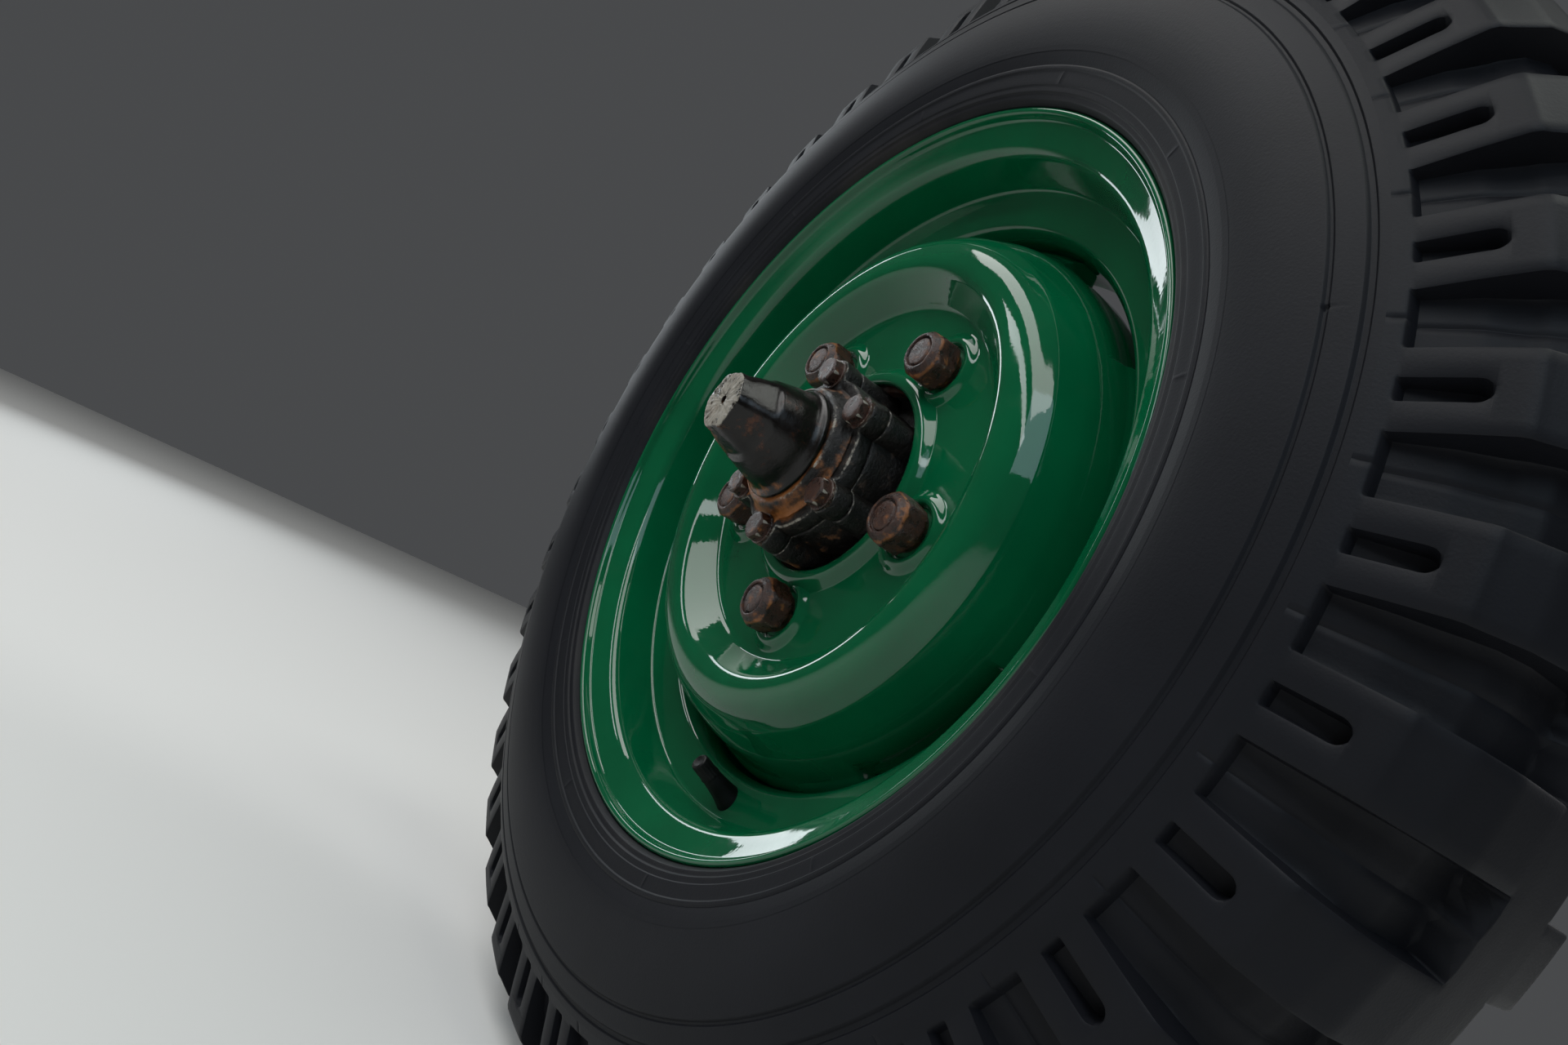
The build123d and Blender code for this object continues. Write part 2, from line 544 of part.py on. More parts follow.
# Bearings, as plain rings carried in the hub
for name, bore, outer, start in (
    ("bearing_inner", JOURNAL_INNER_R, BEARING_INNER_R, BEARING_INNER_OUT),
    ("bearing_outer", JOURNAL_OUTER_R, BEARING_OUTER_R, BEARING_OUTER_OUT),
):
    with BuildPart() as bearing:
        with BuildSketch(face_plane(start)):
            Circle(outer)
            Circle(bore + RUNNING_GAP, mode=Mode.SUBTRACT)
        extrude(amount=BEARING_WIDTH)
    save(bearing, name)


# Stub axle: bolted flange, seal land, two journals and a threaded end, bored for the drive shaft
with BuildPart() as stub_axle:
    with BuildSketch(SECTION):
        Polygon(
            (STUB_BORE_R, 0),
            (STUB_FLANGE_R, 0),
            (STUB_FLANGE_R, STUB_FLANGE_THICK),
            (STUB_SPIGOT_R, STUB_FLANGE_THICK),
            (STUB_SPIGOT_R, STUB_FLANGE_THICK + STUB_SPIGOT_HEIGHT),
            (JOURNAL_INNER_R + SEAL_LAND_RISE, BEARING_INNER_OUT - SEAL_LAND_END),
            (JOURNAL_INNER_R, BEARING_INNER_OUT - SEAL_LAND_END),
            (JOURNAL_INNER_R, BEARING_INNER_OUT + BEARING_WIDTH),
            (JOURNAL_OUTER_R, BEARING_OUTER_OUT - BEARING_SHOULDER),
            (JOURNAL_OUTER_R, BEARING_OUTER_OUT + BEARING_WIDTH),
            (JOURNAL_OUTER_R - STUB_THREAD_FALL, STUB_END_OUT),
            (STUB_BORE_R, STUB_END_OUT),
            align=None,
        )
    revolve(axis=Axis.Y)
    with Locations(face_plane(STUB_FLANGE_THICK)):
        with PolarLocations(STUB_BOLT_CIRCLE_R, STUB_BOLT_COUNT):
            Hole(STUB_BOLT_HOLE_R, depth=STUB_FLANGE_THICK)
save(stub_axle, "stub_axle")


# Backplate: pressed plate on the stub flange, its lip reaching over the drum's open end
lip_r = DRUM_RIB_R + BRAKE_GAP + BACKPLATE_GAUGE / 2
seat_mid_out = STUB_FLANGE_THICK + BACKPLATE_GAUGE / 2
plate_mid_out = seat_mid_out - BACKPLATE_GAUGE / 2 - BACKPLATE_STEP_FALL
seat_r = STUB_FLANGE_R + BACKPLATE_SEAT_WIDTH
plate_line = [
    (STUB_SPIGOT_R + BACKPLATE_BORE_GAP, seat_mid_out),
    (seat_r, seat_mid_out),
    (seat_r + BACKPLATE_STEP, plate_mid_out),
    (lip_r, plate_mid_out),
    (lip_r, plate_mid_out + BACKPLATE_LIP_DEPTH),
]
with BuildPart() as brake_backplate:
    with BuildSketch(SECTION):
        plate_face, plate_back = sheet_sides(plate_line, BACKPLATE_GAUGE)
        Polygon(*plate_face, *plate_back[::-1], align=None)
    revolve(axis=Axis.Y)
    with Locations(face_plane(STUB_FLANGE_THICK + BACKPLATE_GAUGE)):
        with PolarLocations(STUB_BOLT_CIRCLE_R, STUB_BOLT_COUNT):
            Hole(STUB_BOLT_HOLE_R)
save(brake_backplate, "brake_backplate")

plate_back_out = plate_mid_out - BACKPLATE_GAUGE / 2
cylinder_back_out = plate_back_out - CYLINDER_THICK
with BuildPart() as wheel_cylinder:
    with BuildSketch(face_plane(plate_back_out)):
        with Locations((0, CYLINDER_PLACE_R)):
            SlotOverall(CYLINDER_LENGTH, 2 * CYLINDER_BOSS_R)
    extrude(amount=-CYLINDER_THICK)
    with BuildSketch(face_plane(cylinder_back_out)):
        with Locations((-CYLINDER_PORT_OFFSET, CYLINDER_PLACE_R)):
            RegularPolygon(PIPE_NUT_FLATS / 2, 6, major_radius=False)
    extrude(amount=-PIPE_NUT_HEIGHT)
    with BuildSketch(face_plane(cylinder_back_out)):
        with Locations((CYLINDER_PORT_OFFSET, CYLINDER_PLACE_R)):
            Circle(BLEEDER_R)
    extrude(amount=-BLEEDER_HEIGHT)
save(wheel_cylinder, "wheel_cylinder")

with BuildPart() as shoe_adjuster:
    with BuildSketch(face_plane(plate_back_out)):
        with Locations((0, -CYLINDER_PLACE_R)):
            Circle(ADJUSTER_COLLAR_R)
    extrude(amount=-ADJUSTER_COLLAR_THICK)
    with BuildSketch(face_plane(plate_back_out - ADJUSTER_COLLAR_THICK)):
        with Locations((0, -CYLINDER_PLACE_R)):
            RegularPolygon(ADJUSTER_FLATS / 2, 6, major_radius=False)
    extrude(amount=-ADJUSTER_HEIGHT)
save(shoe_adjuster, "shoe_adjuster")


# Valve: rubber stem seated in the rim's wall, with its cap
wall_face = RIM_GAUGE / 2 + RUNNING_GAP
with BuildPart() as valve_stem:
    with BuildSketch(valve_seat.offset(-wall_face - VALVE_HEAD_THICK)):
        Circle(VALVE_HEAD_R)
    extrude(amount=VALVE_HEAD_THICK)
    with BuildSketch(valve_seat.offset(-wall_face)):
        Circle(VALVE_R - FIT_GAP)
    extrude(amount=2 * wall_face)
    with BuildSketch(valve_seat.offset(wall_face)):
        Circle(VALVE_HEAD_R)
    extrude(amount=VALVE_LENGTH - VALVE_CAP_LENGTH, taper=VALVE_TAPER)
save(valve_stem, "valve_stem")

with BuildPart() as valve_cap:
    with BuildSketch(valve_seat.offset(wall_face + VALVE_LENGTH - VALVE_CAP_LENGTH)):
        Circle(VALVE_CAP_R)
    extrude(amount=VALVE_CAP_LENGTH)
save(valve_cap, "valve_cap")
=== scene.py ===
"""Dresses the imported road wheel: pressed steel wheel, lugged tyre, lobed hub and worn nose.

Shapes are written as (radius, out) in millimetres: "out" is the distance outboard of the stub
axle's mounting face, along -Y. Blender's own units are metres, so meshes are made with MM.
"""

import json
import math

import bmesh
import bpy
import numpy as np
from mathutils import Matrix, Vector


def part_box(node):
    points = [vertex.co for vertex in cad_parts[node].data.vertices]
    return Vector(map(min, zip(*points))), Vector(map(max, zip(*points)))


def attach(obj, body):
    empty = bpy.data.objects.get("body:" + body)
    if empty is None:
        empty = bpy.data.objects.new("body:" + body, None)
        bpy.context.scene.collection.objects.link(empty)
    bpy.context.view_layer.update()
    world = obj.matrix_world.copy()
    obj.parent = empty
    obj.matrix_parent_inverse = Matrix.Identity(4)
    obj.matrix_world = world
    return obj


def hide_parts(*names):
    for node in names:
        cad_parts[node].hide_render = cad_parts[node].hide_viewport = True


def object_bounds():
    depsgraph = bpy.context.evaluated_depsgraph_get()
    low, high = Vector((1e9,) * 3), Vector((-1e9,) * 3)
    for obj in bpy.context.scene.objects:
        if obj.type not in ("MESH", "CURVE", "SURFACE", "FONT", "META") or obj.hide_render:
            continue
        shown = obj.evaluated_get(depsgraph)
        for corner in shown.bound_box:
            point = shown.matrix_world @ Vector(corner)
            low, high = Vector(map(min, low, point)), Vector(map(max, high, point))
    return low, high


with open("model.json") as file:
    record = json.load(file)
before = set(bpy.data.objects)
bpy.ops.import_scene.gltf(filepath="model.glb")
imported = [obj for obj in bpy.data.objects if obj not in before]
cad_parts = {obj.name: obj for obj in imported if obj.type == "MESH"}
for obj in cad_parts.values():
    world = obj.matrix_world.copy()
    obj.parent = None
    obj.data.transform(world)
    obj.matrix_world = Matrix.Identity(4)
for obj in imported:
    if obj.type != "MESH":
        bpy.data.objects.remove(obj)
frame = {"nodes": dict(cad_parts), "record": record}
CAD_BOX = [list(corner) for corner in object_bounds()]

bl_info = {
    "name": "Road wheel dresser",
    "version": (1, 0, 0),
    "blender": (4, 5, 0),
    "location": "View3D > Sidebar > Road wheel",
    "description": "Builds the finished surfaces of a military car's road wheel round its CAD frame",
    "category": "Add Mesh",
}

MM = 0.001
TURN = 2 * math.pi


def reach(node):
    """Radius and axial span (radius, lowest out, highest out) of a CAD node, in millimetres."""
    low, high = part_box(node)
    return high.z / MM, -high.y / MM, -low.y / MM


def place_of(node):
    """Radius and angle of a small CAD node's middle, seen along the axle."""
    low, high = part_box(node)
    middle = (low + high) / 2 / MM
    return math.hypot(middle.x, middle.z), math.atan2(middle.z, middle.x)


# Read from the CAD frame, in millimetres

TYRE_R, TYRE_IN, TYRE_OUT = reach("tyre")
LIP_R, RIM_IN, RIM_OUT = reach("rim")
RIM_MID = (RIM_IN + RIM_OUT) / 2
LIP_WIDTH = (RIM_OUT - RIM_IN) / 2
BULGE = (TYRE_OUT - TYRE_IN) / 2
DISC_SEAT = reach("brake_drum")[2]
HUB_END = reach("hub")[2]
NOSE_BASE = reach("nose_ring")[1]
NOSE_TIP = reach("hub_nose")[2]
NUT_SEAT, NUT_END = reach("wheel_nut_1")[1:]
BOLT_HEAD_END = reach("drive_bolt_1")[2]
STUD_PLACES = [place_of(f"wheel_stud_{i}") for i in range(1, 6)]
BOLT_PLACES = [place_of(f"drive_bolt_{i}") for i in range(1, 7)]

# Fitted to the real wheel, in millimetres, and in degrees from +X towards +Z

FLANGE_THICK = 12.5
HUB_WAIST_R = 46.2
LOBE_R = 9.6
BOSS_R = 9.0  # the round pads under the drive bolts
CAST_SKIN = 0.9  # height of the sand-cast bumps
LUG_PHASE = 7.9
LUG_EDGE = np.array([-1.2, -0.3, 0.4, 1.3])  # across the rounded edge and wall of a lug
SLOT_END_R = 333.4
SLOT_EDGE = 0.45  # half the slope of the slot's wall
TREAD_DEPTH = 12.5
RIB_COUNT = 12
RIB_PHASE = 11.0
RIB_HEIGHT = 0.28
DOT_R = 286.6
DOT_PHASE = 13.7
DOT_DEPTH = 1.0
VENT_COUNT = 4
VENT_PHASE = 48.0
VENT_HALF_ANGLE = 17.3
VALVE_PHASE = -87.5
RUST_PHASE = -126.05  # the side of the hub where most rust gathers
NOSE_RUNOUT = 1.4


def linear(hex_colour):
    """Turns an sRGB hex colour into the linear values that shaders read."""
    parts = [int(hex_colour[i:i + 2], 16) / 255 for i in (0, 2, 4)]
    return [p / 12.92 if p <= 0.04045 else ((p + 0.055) / 1.055) ** 2.4 for p in parts]


def length(name, description, millimetres):
    """A length property whose default is given in millimetres."""
    return bpy.props.FloatProperty(
        name=name, description=description, default=millimetres * MM, unit="LENGTH", precision=4
    )


def colour(name, description, hex_colour):
    """A colour property whose default is given as sRGB hex."""
    return bpy.props.FloatVectorProperty(
        name=name, description=description, default=linear(hex_colour), subtype="COLOR", min=0, max=1
    )


class RoadWheelSizes(bpy.types.PropertyGroup):
    """Sizes of what the scene adds to the CAD frame."""

    rim_gauge: length("Rim gauge", "Thickness of the rolled rim", 4.0)
    disc_gauge: length("Disc gauge", "Thickness of the pressed wheel disc", 5.0)
    disc_foot: length("Disc foot", "Outer radius of the disc's foot, welded in the rim's well", 170.5)
    vent_face: length("Vent face", "Axle to the disc's wall where it isn't flared, at the vents", 162.4)
    nut_flats: length("Nut flats", "Width of a wheel nut across its flats", 26.4)
    bolt_flats: length("Bolt flats", "Width of a drive bolt's head across its flats", 14.3)
    lug_width: length("Lug width", "Width of one shoulder lug", 30.0)
    slot_width: length("Slot width", "Width of the slot in each shoulder lug", 7.5)
    lug_count: bpy.props.IntProperty(
        name="Lugs", description="Shoulder lugs on each side of the tyre", default=38, min=8
    )


class RoadWheelColours(bpy.types.PropertyGroup):
    """Colours of the finishes, matched to the real object."""

    enamel: colour("Enamel", "Deep green gloss enamel", "035432")
    rubber: colour("Tyre rubber", "Black rubber greyed by age", "15161A")
    dust: colour("Road dust", "Dry dust in the hollows", "4A443C")
    rust: colour("Rust", "Dark red-brown rust", "3B1F13")
    rust_light: colour("Fresh rust", "Orange rust and old grease", "8C5528")
    casting: colour("Casting", "Black paint over cast iron", "120F0D")
    steel: colour("Steel", "Bare worn steel", "948E83")
    valve: colour("Valve rubber", "Moulded black rubber", "0D0D0D")
    floor: colour("Floor", "Pale studio floor", "DAD9D6")


def sizes():
    """The size settings of this scene."""
    return bpy.context.scene.road_wheel_sizes


def colours():
    """The colour settings of this scene."""
    return bpy.context.scene.road_wheel_colours


# Curves and grids


def rounded(points, radii, turn_step, run_step):
    """Polyline with its corners rounded: each corner is an arc tangent to its two runs.

    Arc points lie every turn_step degrees and straight runs are divided every run_step mm.
    """
    points = np.array(points, float)
    pieces = [points[:1]]
    last = points[0]
    for corner, before, after, radius in zip(points[1:-1], points[:-2], points[2:], radii):
        back = (before - corner) / np.linalg.norm(before - corner)
        forth = (after - corner) / np.linalg.norm(after - corner)
        half = math.acos(np.clip(back @ forth, -1, 1)) / 2
        tangent = radius / math.tan(half)
        start, end = corner + back * tangent, corner + forth * tangent
        middle = (back + forth) / np.linalg.norm(back + forth)
        centre = corner + middle * radius / math.sin(half)
        count = max(2, int(math.degrees(math.pi - 2 * half) / turn_step))
        first, last_angle = (math.atan2(*(p - centre)[::-1]) for p in (start, end))
        angles = first + swing_from(last_angle, first) * np.linspace(0, 1, count + 1)
        pieces.append(straight(last, start, run_step)[1:])
        pieces.append(centre + radius * np.stack([np.cos(angles), np.sin(angles)], 1)[1:])
        last = end
    pieces.append(straight(last, points[-1], run_step)[1:])
    return np.concatenate(pieces)


def straight(start, end, step):
    """Points along a straight run, closer together near its two ends."""
    count = max(1, int(np.linalg.norm(end - start) / step)) + 1
    share = (1 - np.cos(np.linspace(0, math.pi, count + 1))) / 2
    return start + (end - start) * share[:, None]


def normals_of(line):
    """Unit normals of an open line, turned left of its direction."""
    along = np.gradient(line, axis=0)
    along /= np.linalg.norm(along, axis=1)[:, None]
    return np.stack([-along[:, 1], along[:, 0]], 1)


def sheet_loop(line, gauge):
    """Closed outline of a sheet: the line offset by half the gauge to each side, with round edges."""
    edge_steps = 6
    normal = normals_of(line)
    left, right = line + normal * gauge / 2, line - normal * gauge / 2
    caps = []
    for end, sign in ((-1, -1), (0, 1)):
        angles = np.linspace(0, math.pi, edge_steps + 1)[1:-1]
        aside = normal[end] * -sign
        ahead = np.array([aside[1], -aside[0]])
        swung = np.outer(np.cos(angles), aside) + np.outer(np.sin(angles), ahead)
        caps.append(line[end] + gauge / 2 * swung)
    return np.concatenate([left, caps[0], right[::-1], caps[1]])


def filled(rows, width):
    """Rows of numbers as an array, with zeros for what is left out at a row's end."""
    return np.array([(*row, *[0] * (width - len(row))) for row in rows], float)


def even_angles(count):
    """Angles spaced evenly round the axle."""
    return np.arange(count) * TURN / count


def extra_angles(count, centres, offsets):
    """Even angles round the axle with more of them near some places."""
    near = (np.asarray(centres)[:, None] + np.asarray(offsets)[None, :]).ravel() % TURN
    merged = np.sort(np.concatenate([even_angles(count), near]))
    keep = np.append(np.diff(merged) > 1e-4, True)
    return merged[keep]


def swing_from(angles, place, period=TURN):
    """Signed turn of each angle from the nearest of the places that repeat with the period."""
    return (angles - place + period / 2) % period - period / 2


def turned(radius, out, angles):
    """Grid of points carried round the axle: x and z from the radius and angle, y = -out."""
    angles = angles if angles.ndim == 2 else angles[:, None]
    radius, out, angles = np.broadcast_arrays(radius, out, angles)
    return np.stack([radius * np.cos(angles), -out, radius * np.sin(angles)], -1)


def point_at(place):
    """The point of the wheel's plane at a place's radius and angle."""
    radius, angle = place
    return np.array([radius * math.cos(angle), 0, radius * math.sin(angle)])


def swell(grid, rise, radius):
    """Moves points away from the axle by the rise, scaled by their distance over the radius."""
    grid[..., 0] *= 1 + rise / radius
    grid[..., 2] *= 1 + rise / radius


def soft_excess(value, limit, soft):
    """How far a value is past a limit: max(value - limit, 0) with its bend rounded over soft."""
    return soft * np.log(1 + np.exp((value - limit) / soft))


def lattice_noise(points, scale, seed):
    """Value noise from -1 to 1: hashed heights on a cubic lattice, blended by a smooth step."""
    cell = np.asarray(points) / scale
    base = np.floor(cell).astype(np.int64)
    part = cell - base
    part = part * part * (3 - 2 * part)
    total = np.zeros(cell.shape[:-1])
    for corner in np.ndindex(2, 2, 2):
        key = base + corner
        mixed = (key[..., 0] * 73856093) ^ (key[..., 1] * 19349663) ^ (key[..., 2] * 83492791)
        mixed = (mixed ^ (seed * 2654435761)) & 0x7FFFFFFF
        mixed = (mixed * 1103515245 + 12345) & 0x7FFFFFFF
        weight = np.prod(np.where(corner, part, 1 - part), axis=-1)
        total += weight * (mixed / 0x3FFFFFFF - 1)
    return total


def smooth_step(value, low, high):
    """0 below low, 1 above high, and a smooth cubic between."""
    share = np.clip((value - low) / (high - low), 0, 1)
    return share * share * (3 - 2 * share)


def grid_piece(name, points, slot, nodes, wear=0.0, grime=0.0, closed=(True, True), sharp=38):
    """Makes a piece from a grid of points in millimetres, closed along one or both directions.

    Faces are turned outwards by the sign of the enclosed volume, poles are merged, and the piece
    rides on the wheel, stands for its CAD nodes and takes its finish. Wear and grime, from 0 to 1,
    tell the finish where edges are rubbed and where rust or dust gathers.
    """
    rows, columns = points.shape[:2]
    index = np.arange(rows * columns).reshape(rows, columns)
    i = np.arange(rows if closed[0] else rows - 1)
    j = np.arange(columns if closed[1] else columns - 1)
    i2, j2 = (i + 1) % rows, (j + 1) % columns
    quads = np.stack(
        [index[np.ix_(i, j)], index[np.ix_(i2, j)], index[np.ix_(i2, j2)], index[np.ix_(i, j2)]], -1
    ).reshape(-1, 4)
    places = points.reshape(-1, 3) * MM
    a, b, c, d = (places[quads[:, k]] for k in range(4))
    volume = np.sum(a * np.cross(b, c)) + np.sum(a * np.cross(c, d))
    if volume < 0:
        quads = quads[:, ::-1]
    mesh = bpy.data.meshes.new(name)
    mesh.vertices.add(len(places))
    mesh.vertices.foreach_set("co", places.ravel())
    mesh.loops.add(quads.size)
    mesh.loops.foreach_set("vertex_index", quads.ravel())
    mesh.polygons.add(len(quads))
    mesh.polygons.foreach_set("loop_start", np.arange(0, quads.size, 4))
    mesh.update(calc_edges=True)
    for key, share in (("wear", wear), ("grime", grime)):
        layer = mesh.attributes.new(key, "FLOAT", "POINT")
        shares = np.broadcast_to(share, points.shape[:2]).ravel().astype(np.float32)
        layer.data.foreach_set("value", shares)
    if not (closed[0] and closed[1]):
        merge_poles(mesh)
    mesh.polygons.foreach_set("use_smooth", np.ones(len(mesh.polygons), bool))
    mesh.set_sharp_from_angle(angle=math.radians(sharp))
    mesh.validate()
    piece = bpy.data.objects.new(name, mesh)
    bpy.context.scene.collection.objects.link(piece)
    mesh.materials.append(finish(slot))
    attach(piece, "wheel")
    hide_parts(*nodes)


def merge_poles(mesh):
    """Merges the points that share one place, as at the middle of a turned end."""
    work = bmesh.new()
    work.from_mesh(mesh)
    bmesh.ops.remove_doubles(work, verts=work.verts, dist=1e-7)
    work.to_mesh(mesh)
    work.free()


# Materials


def node(tree, kind, inputs=None, stops=None, **settings):
    """Adds one node: settings are its attributes, inputs are values or links, stops fill a ramp."""
    made = tree.nodes.new(kind)
    for key, value in settings.items():
        setattr(made, key, value)
    for key, value in (inputs or {}).items():
        if isinstance(value, bpy.types.NodeSocket):
            tree.links.new(value, made.inputs[key])
        else:
            made.inputs[key].default_value = value
    if stops:
        ramp = made.color_ramp.elements
        while len(ramp) < len(stops):
            ramp.new(1.0)
        for element, (place, tint) in zip(ramp, stops):
            element.position = place
            element.color = (*tint, 1) if hasattr(tint, "__len__") else (tint, tint, tint, 1)
    return made


def across(millimetres):
    """Scale of a noise texture whose patches are this far across."""
    return 1 / (millimetres * MM)


def shade(tint, share):
    """A colour with its linear values scaled."""
    return [value * share for value in tint]


def start_material(name):
    """A new node material: returns its tree, its Principled shader and the object's coordinates."""
    material = bpy.data.materials.new(name)
    material.use_nodes = True
    tree = material.node_tree
    shader = tree.nodes["Principled BSDF"]
    place = node(tree, "ShaderNodeTexCoord").outputs["Object"]
    return tree, shader, place


def green_enamel():
    """Deep green stoving enamel, sprayed over pressed steel.

    It gives the eye sharp, clear reflections, which the orange peel ripples a little, 3 mm from
    crest to crest. The green drifts over patches a palm wide, and dust dulls it in spots of 17 mm.
    """
    tree, shader, place = start_material("stoved_green_enamel")
    enamel = colours().enamel
    patches = node(tree, "ShaderNodeTexNoise", {"Vector": place, "Scale": across(71.4), "Detail": 4.0})
    tint = node(
        tree, "ShaderNodeValToRGB", {"Fac": patches.outputs["Fac"]},
        stops=[(0.35, shade(enamel, 0.84)), (0.7, shade(enamel, 1.1))],
    )
    film = node(
        tree, "ShaderNodeTexNoise",
        {"Vector": place, "Scale": across(16.67), "Detail": 8.0, "Roughness": 0.7},
    )
    dust = node(
        tree, "ShaderNodeValToRGB", {"Fac": film.outputs["Fac"]}, stops=[(0.55, 0.0), (0.85, 0.05)]
    )
    base = node(
        tree, "ShaderNodeMix",
        {"Factor": dust.outputs["Color"], "A": tint.outputs["Color"], "B": (*colours().dust, 1)},
        data_type="RGBA",
    )
    gloss = node(
        tree, "ShaderNodeMapRange",
        {"Value": film.outputs["Fac"], "From Min": 0.4, "From Max": 0.8, "To Min": 0.03, "To Max": 0.12},
    )
    peel = node(tree, "ShaderNodeTexNoise", {"Vector": place, "Scale": across(3.125), "Detail": 1.0})
    bump = node(
        tree, "ShaderNodeBump", {"Height": peel.outputs["Fac"], "Strength": 0.05, "Distance": 0.4 * MM}
    )
    tree.links.new(base.outputs["Result"], shader.inputs["Base Color"])
    tree.links.new(gloss.outputs["Result"], shader.inputs["Roughness"])
    tree.links.new(bump.outputs["Normal"], shader.inputs["Normal"])
    shader.inputs["IOR"].default_value = 1.5


def spread(tree, mark, noise, low, high):
    """Patchy share of a mark: 0 to 1 where the mark added to a noise passes from low to high."""
    attribute = node(tree, "ShaderNodeAttribute", attribute_name=mark)
    total = node(tree, "ShaderNodeMath", {0: attribute.outputs["Fac"], 1: noise}, operation="ADD")
    return node(
        tree, "ShaderNodeMapRange", {"Value": total.outputs["Value"], "From Min": low, "From Max": high},
        interpolation_type="SMOOTHSTEP",
    ).outputs["Result"]


def tyre_rubber():
    """Moulded black tyre rubber, greyed by age.

    It gives the eye a soft sheen with no sharp reflection, uneven over patches a hand wide, and
    road dust in its hollows. Its grain is really finer than 0.3 mm, and is drawn 1.1 mm across so
    that it shows.
    """
    tree, shader, place = start_material("aged_tyre_rubber")
    rubber = colours().rubber
    blotch = node(
        tree, "ShaderNodeTexNoise",
        {"Vector": place, "Scale": across(111.1), "Detail": 6.0, "Roughness": 0.62},
    )
    tint = node(
        tree, "ShaderNodeValToRGB", {"Fac": blotch.outputs["Fac"]},
        stops=[(0.3, shade(rubber, 0.8)), (0.72, shade(rubber, 1.2))],
    )
    grain = node(tree, "ShaderNodeTexNoise", {"Vector": place, "Scale": across(1.111), "Detail": 3.0})
    dusty = spread(tree, "grime", blotch.outputs["Fac"], 0.7, 1.6)
    base = node(
        tree, "ShaderNodeMix",
        {"Factor": dusty, "A": tint.outputs["Color"], "B": (*colours().dust, 1)},
        data_type="RGBA",
    )
    bump = node(
        tree, "ShaderNodeBump", {"Height": grain.outputs["Fac"], "Strength": 0.22, "Distance": 0.3 * MM}
    )
    tree.links.new(base.outputs["Result"], shader.inputs["Base Color"])
    tree.links.new(bump.outputs["Normal"], shader.inputs["Normal"])
    shader.inputs["Roughness"].default_value = 0.5
    shader.inputs["Specular IOR Level"].default_value = 0.12


def weathered(name, dark, mid, bright, blotch_size, roughness, metallic=0.0, relief=0.7, shine=0.5):
    """A weathered finish: blotches of three colours, orange where grime sits, steel where rubbed.

    The blotches are a fractal noise, blotch_size millimetres across, and its grain is five times
    finer. Roughness follows the blotches.
    """
    tree, shader, place = start_material(name)
    blotch = node(
        tree, "ShaderNodeTexNoise",
        {"Vector": place, "Scale": across(blotch_size), "Detail": 7.0, "Roughness": 0.65},
    )
    fine = node(
        tree, "ShaderNodeTexNoise",
        {"Vector": place, "Scale": across(blotch_size / 5), "Detail": 5.0, "Roughness": 0.7},
    )
    tint = node(
        tree, "ShaderNodeValToRGB", {"Fac": blotch.outputs["Fac"]},
        stops=[(0.4, dark), (0.5, mid), (0.58, mid), (0.68, bright)],
    )
    rusting = spread(tree, "grime", blotch.outputs["Fac"], 0.84, 1.14)
    patchy = node(tree, "ShaderNodeMix", {0: 0.5, 2: blotch.outputs["Fac"], 3: fine.outputs["Fac"]})
    rubbed = spread(tree, "wear", patchy.outputs[0], 0.95, 1.12)
    stained = node(
        tree, "ShaderNodeMix",
        {"Factor": rusting, "A": tint.outputs["Color"], "B": (*colours().rust_light, 1)},
        data_type="RGBA",
    )
    base = node(
        tree, "ShaderNodeMix",
        {"Factor": rubbed, "A": stained.outputs["Result"], "B": (*colours().steel, 1)},
        data_type="RGBA",
    )
    bump = node(
        tree, "ShaderNodeBump", {"Height": patchy.outputs[0], "Strength": relief, "Distance": 1.6 * MM}
    )
    coat = node(
        tree, "ShaderNodeMapRange",
        {"Value": blotch.outputs["Fac"], "From Min": 0.3, "From Max": 0.7,
         "To Min": roughness - 0.1, "To Max": roughness + 0.16},
    )
    rough = node(
        tree, "ShaderNodeMix",
        {"Factor": rubbed, "A": coat.outputs["Result"], "B": 0.55}, data_type="FLOAT",
    )
    tree.links.new(base.outputs["Result"], shader.inputs["Base Color"])
    tree.links.new(rough.outputs["Result"], shader.inputs["Roughness"])
    tree.links.new(bump.outputs["Normal"], shader.inputs["Normal"])
    shader.inputs["Metallic"].default_value = metallic
    shader.inputs["Specular IOR Level"].default_value = shine


FINISH_OF_SLOT = {
    "green_enamel": "stoved_green_enamel",
    "tyre": "aged_tyre_rubber",
    "rusty_steel": "rusted_nut_steel",
    "black_casting": "painted_iron_casting",
    "worn_steel": "worn_nose_steel",
    "drum_iron": "rusted_drum_iron",
    "black_plate": "painted_backplate_steel",
    "forged_steel": "oiled_axle_forging",
    "bearing_steel": "ground_bearing_steel",
    "black_rubber": "moulded_valve_rubber",
}


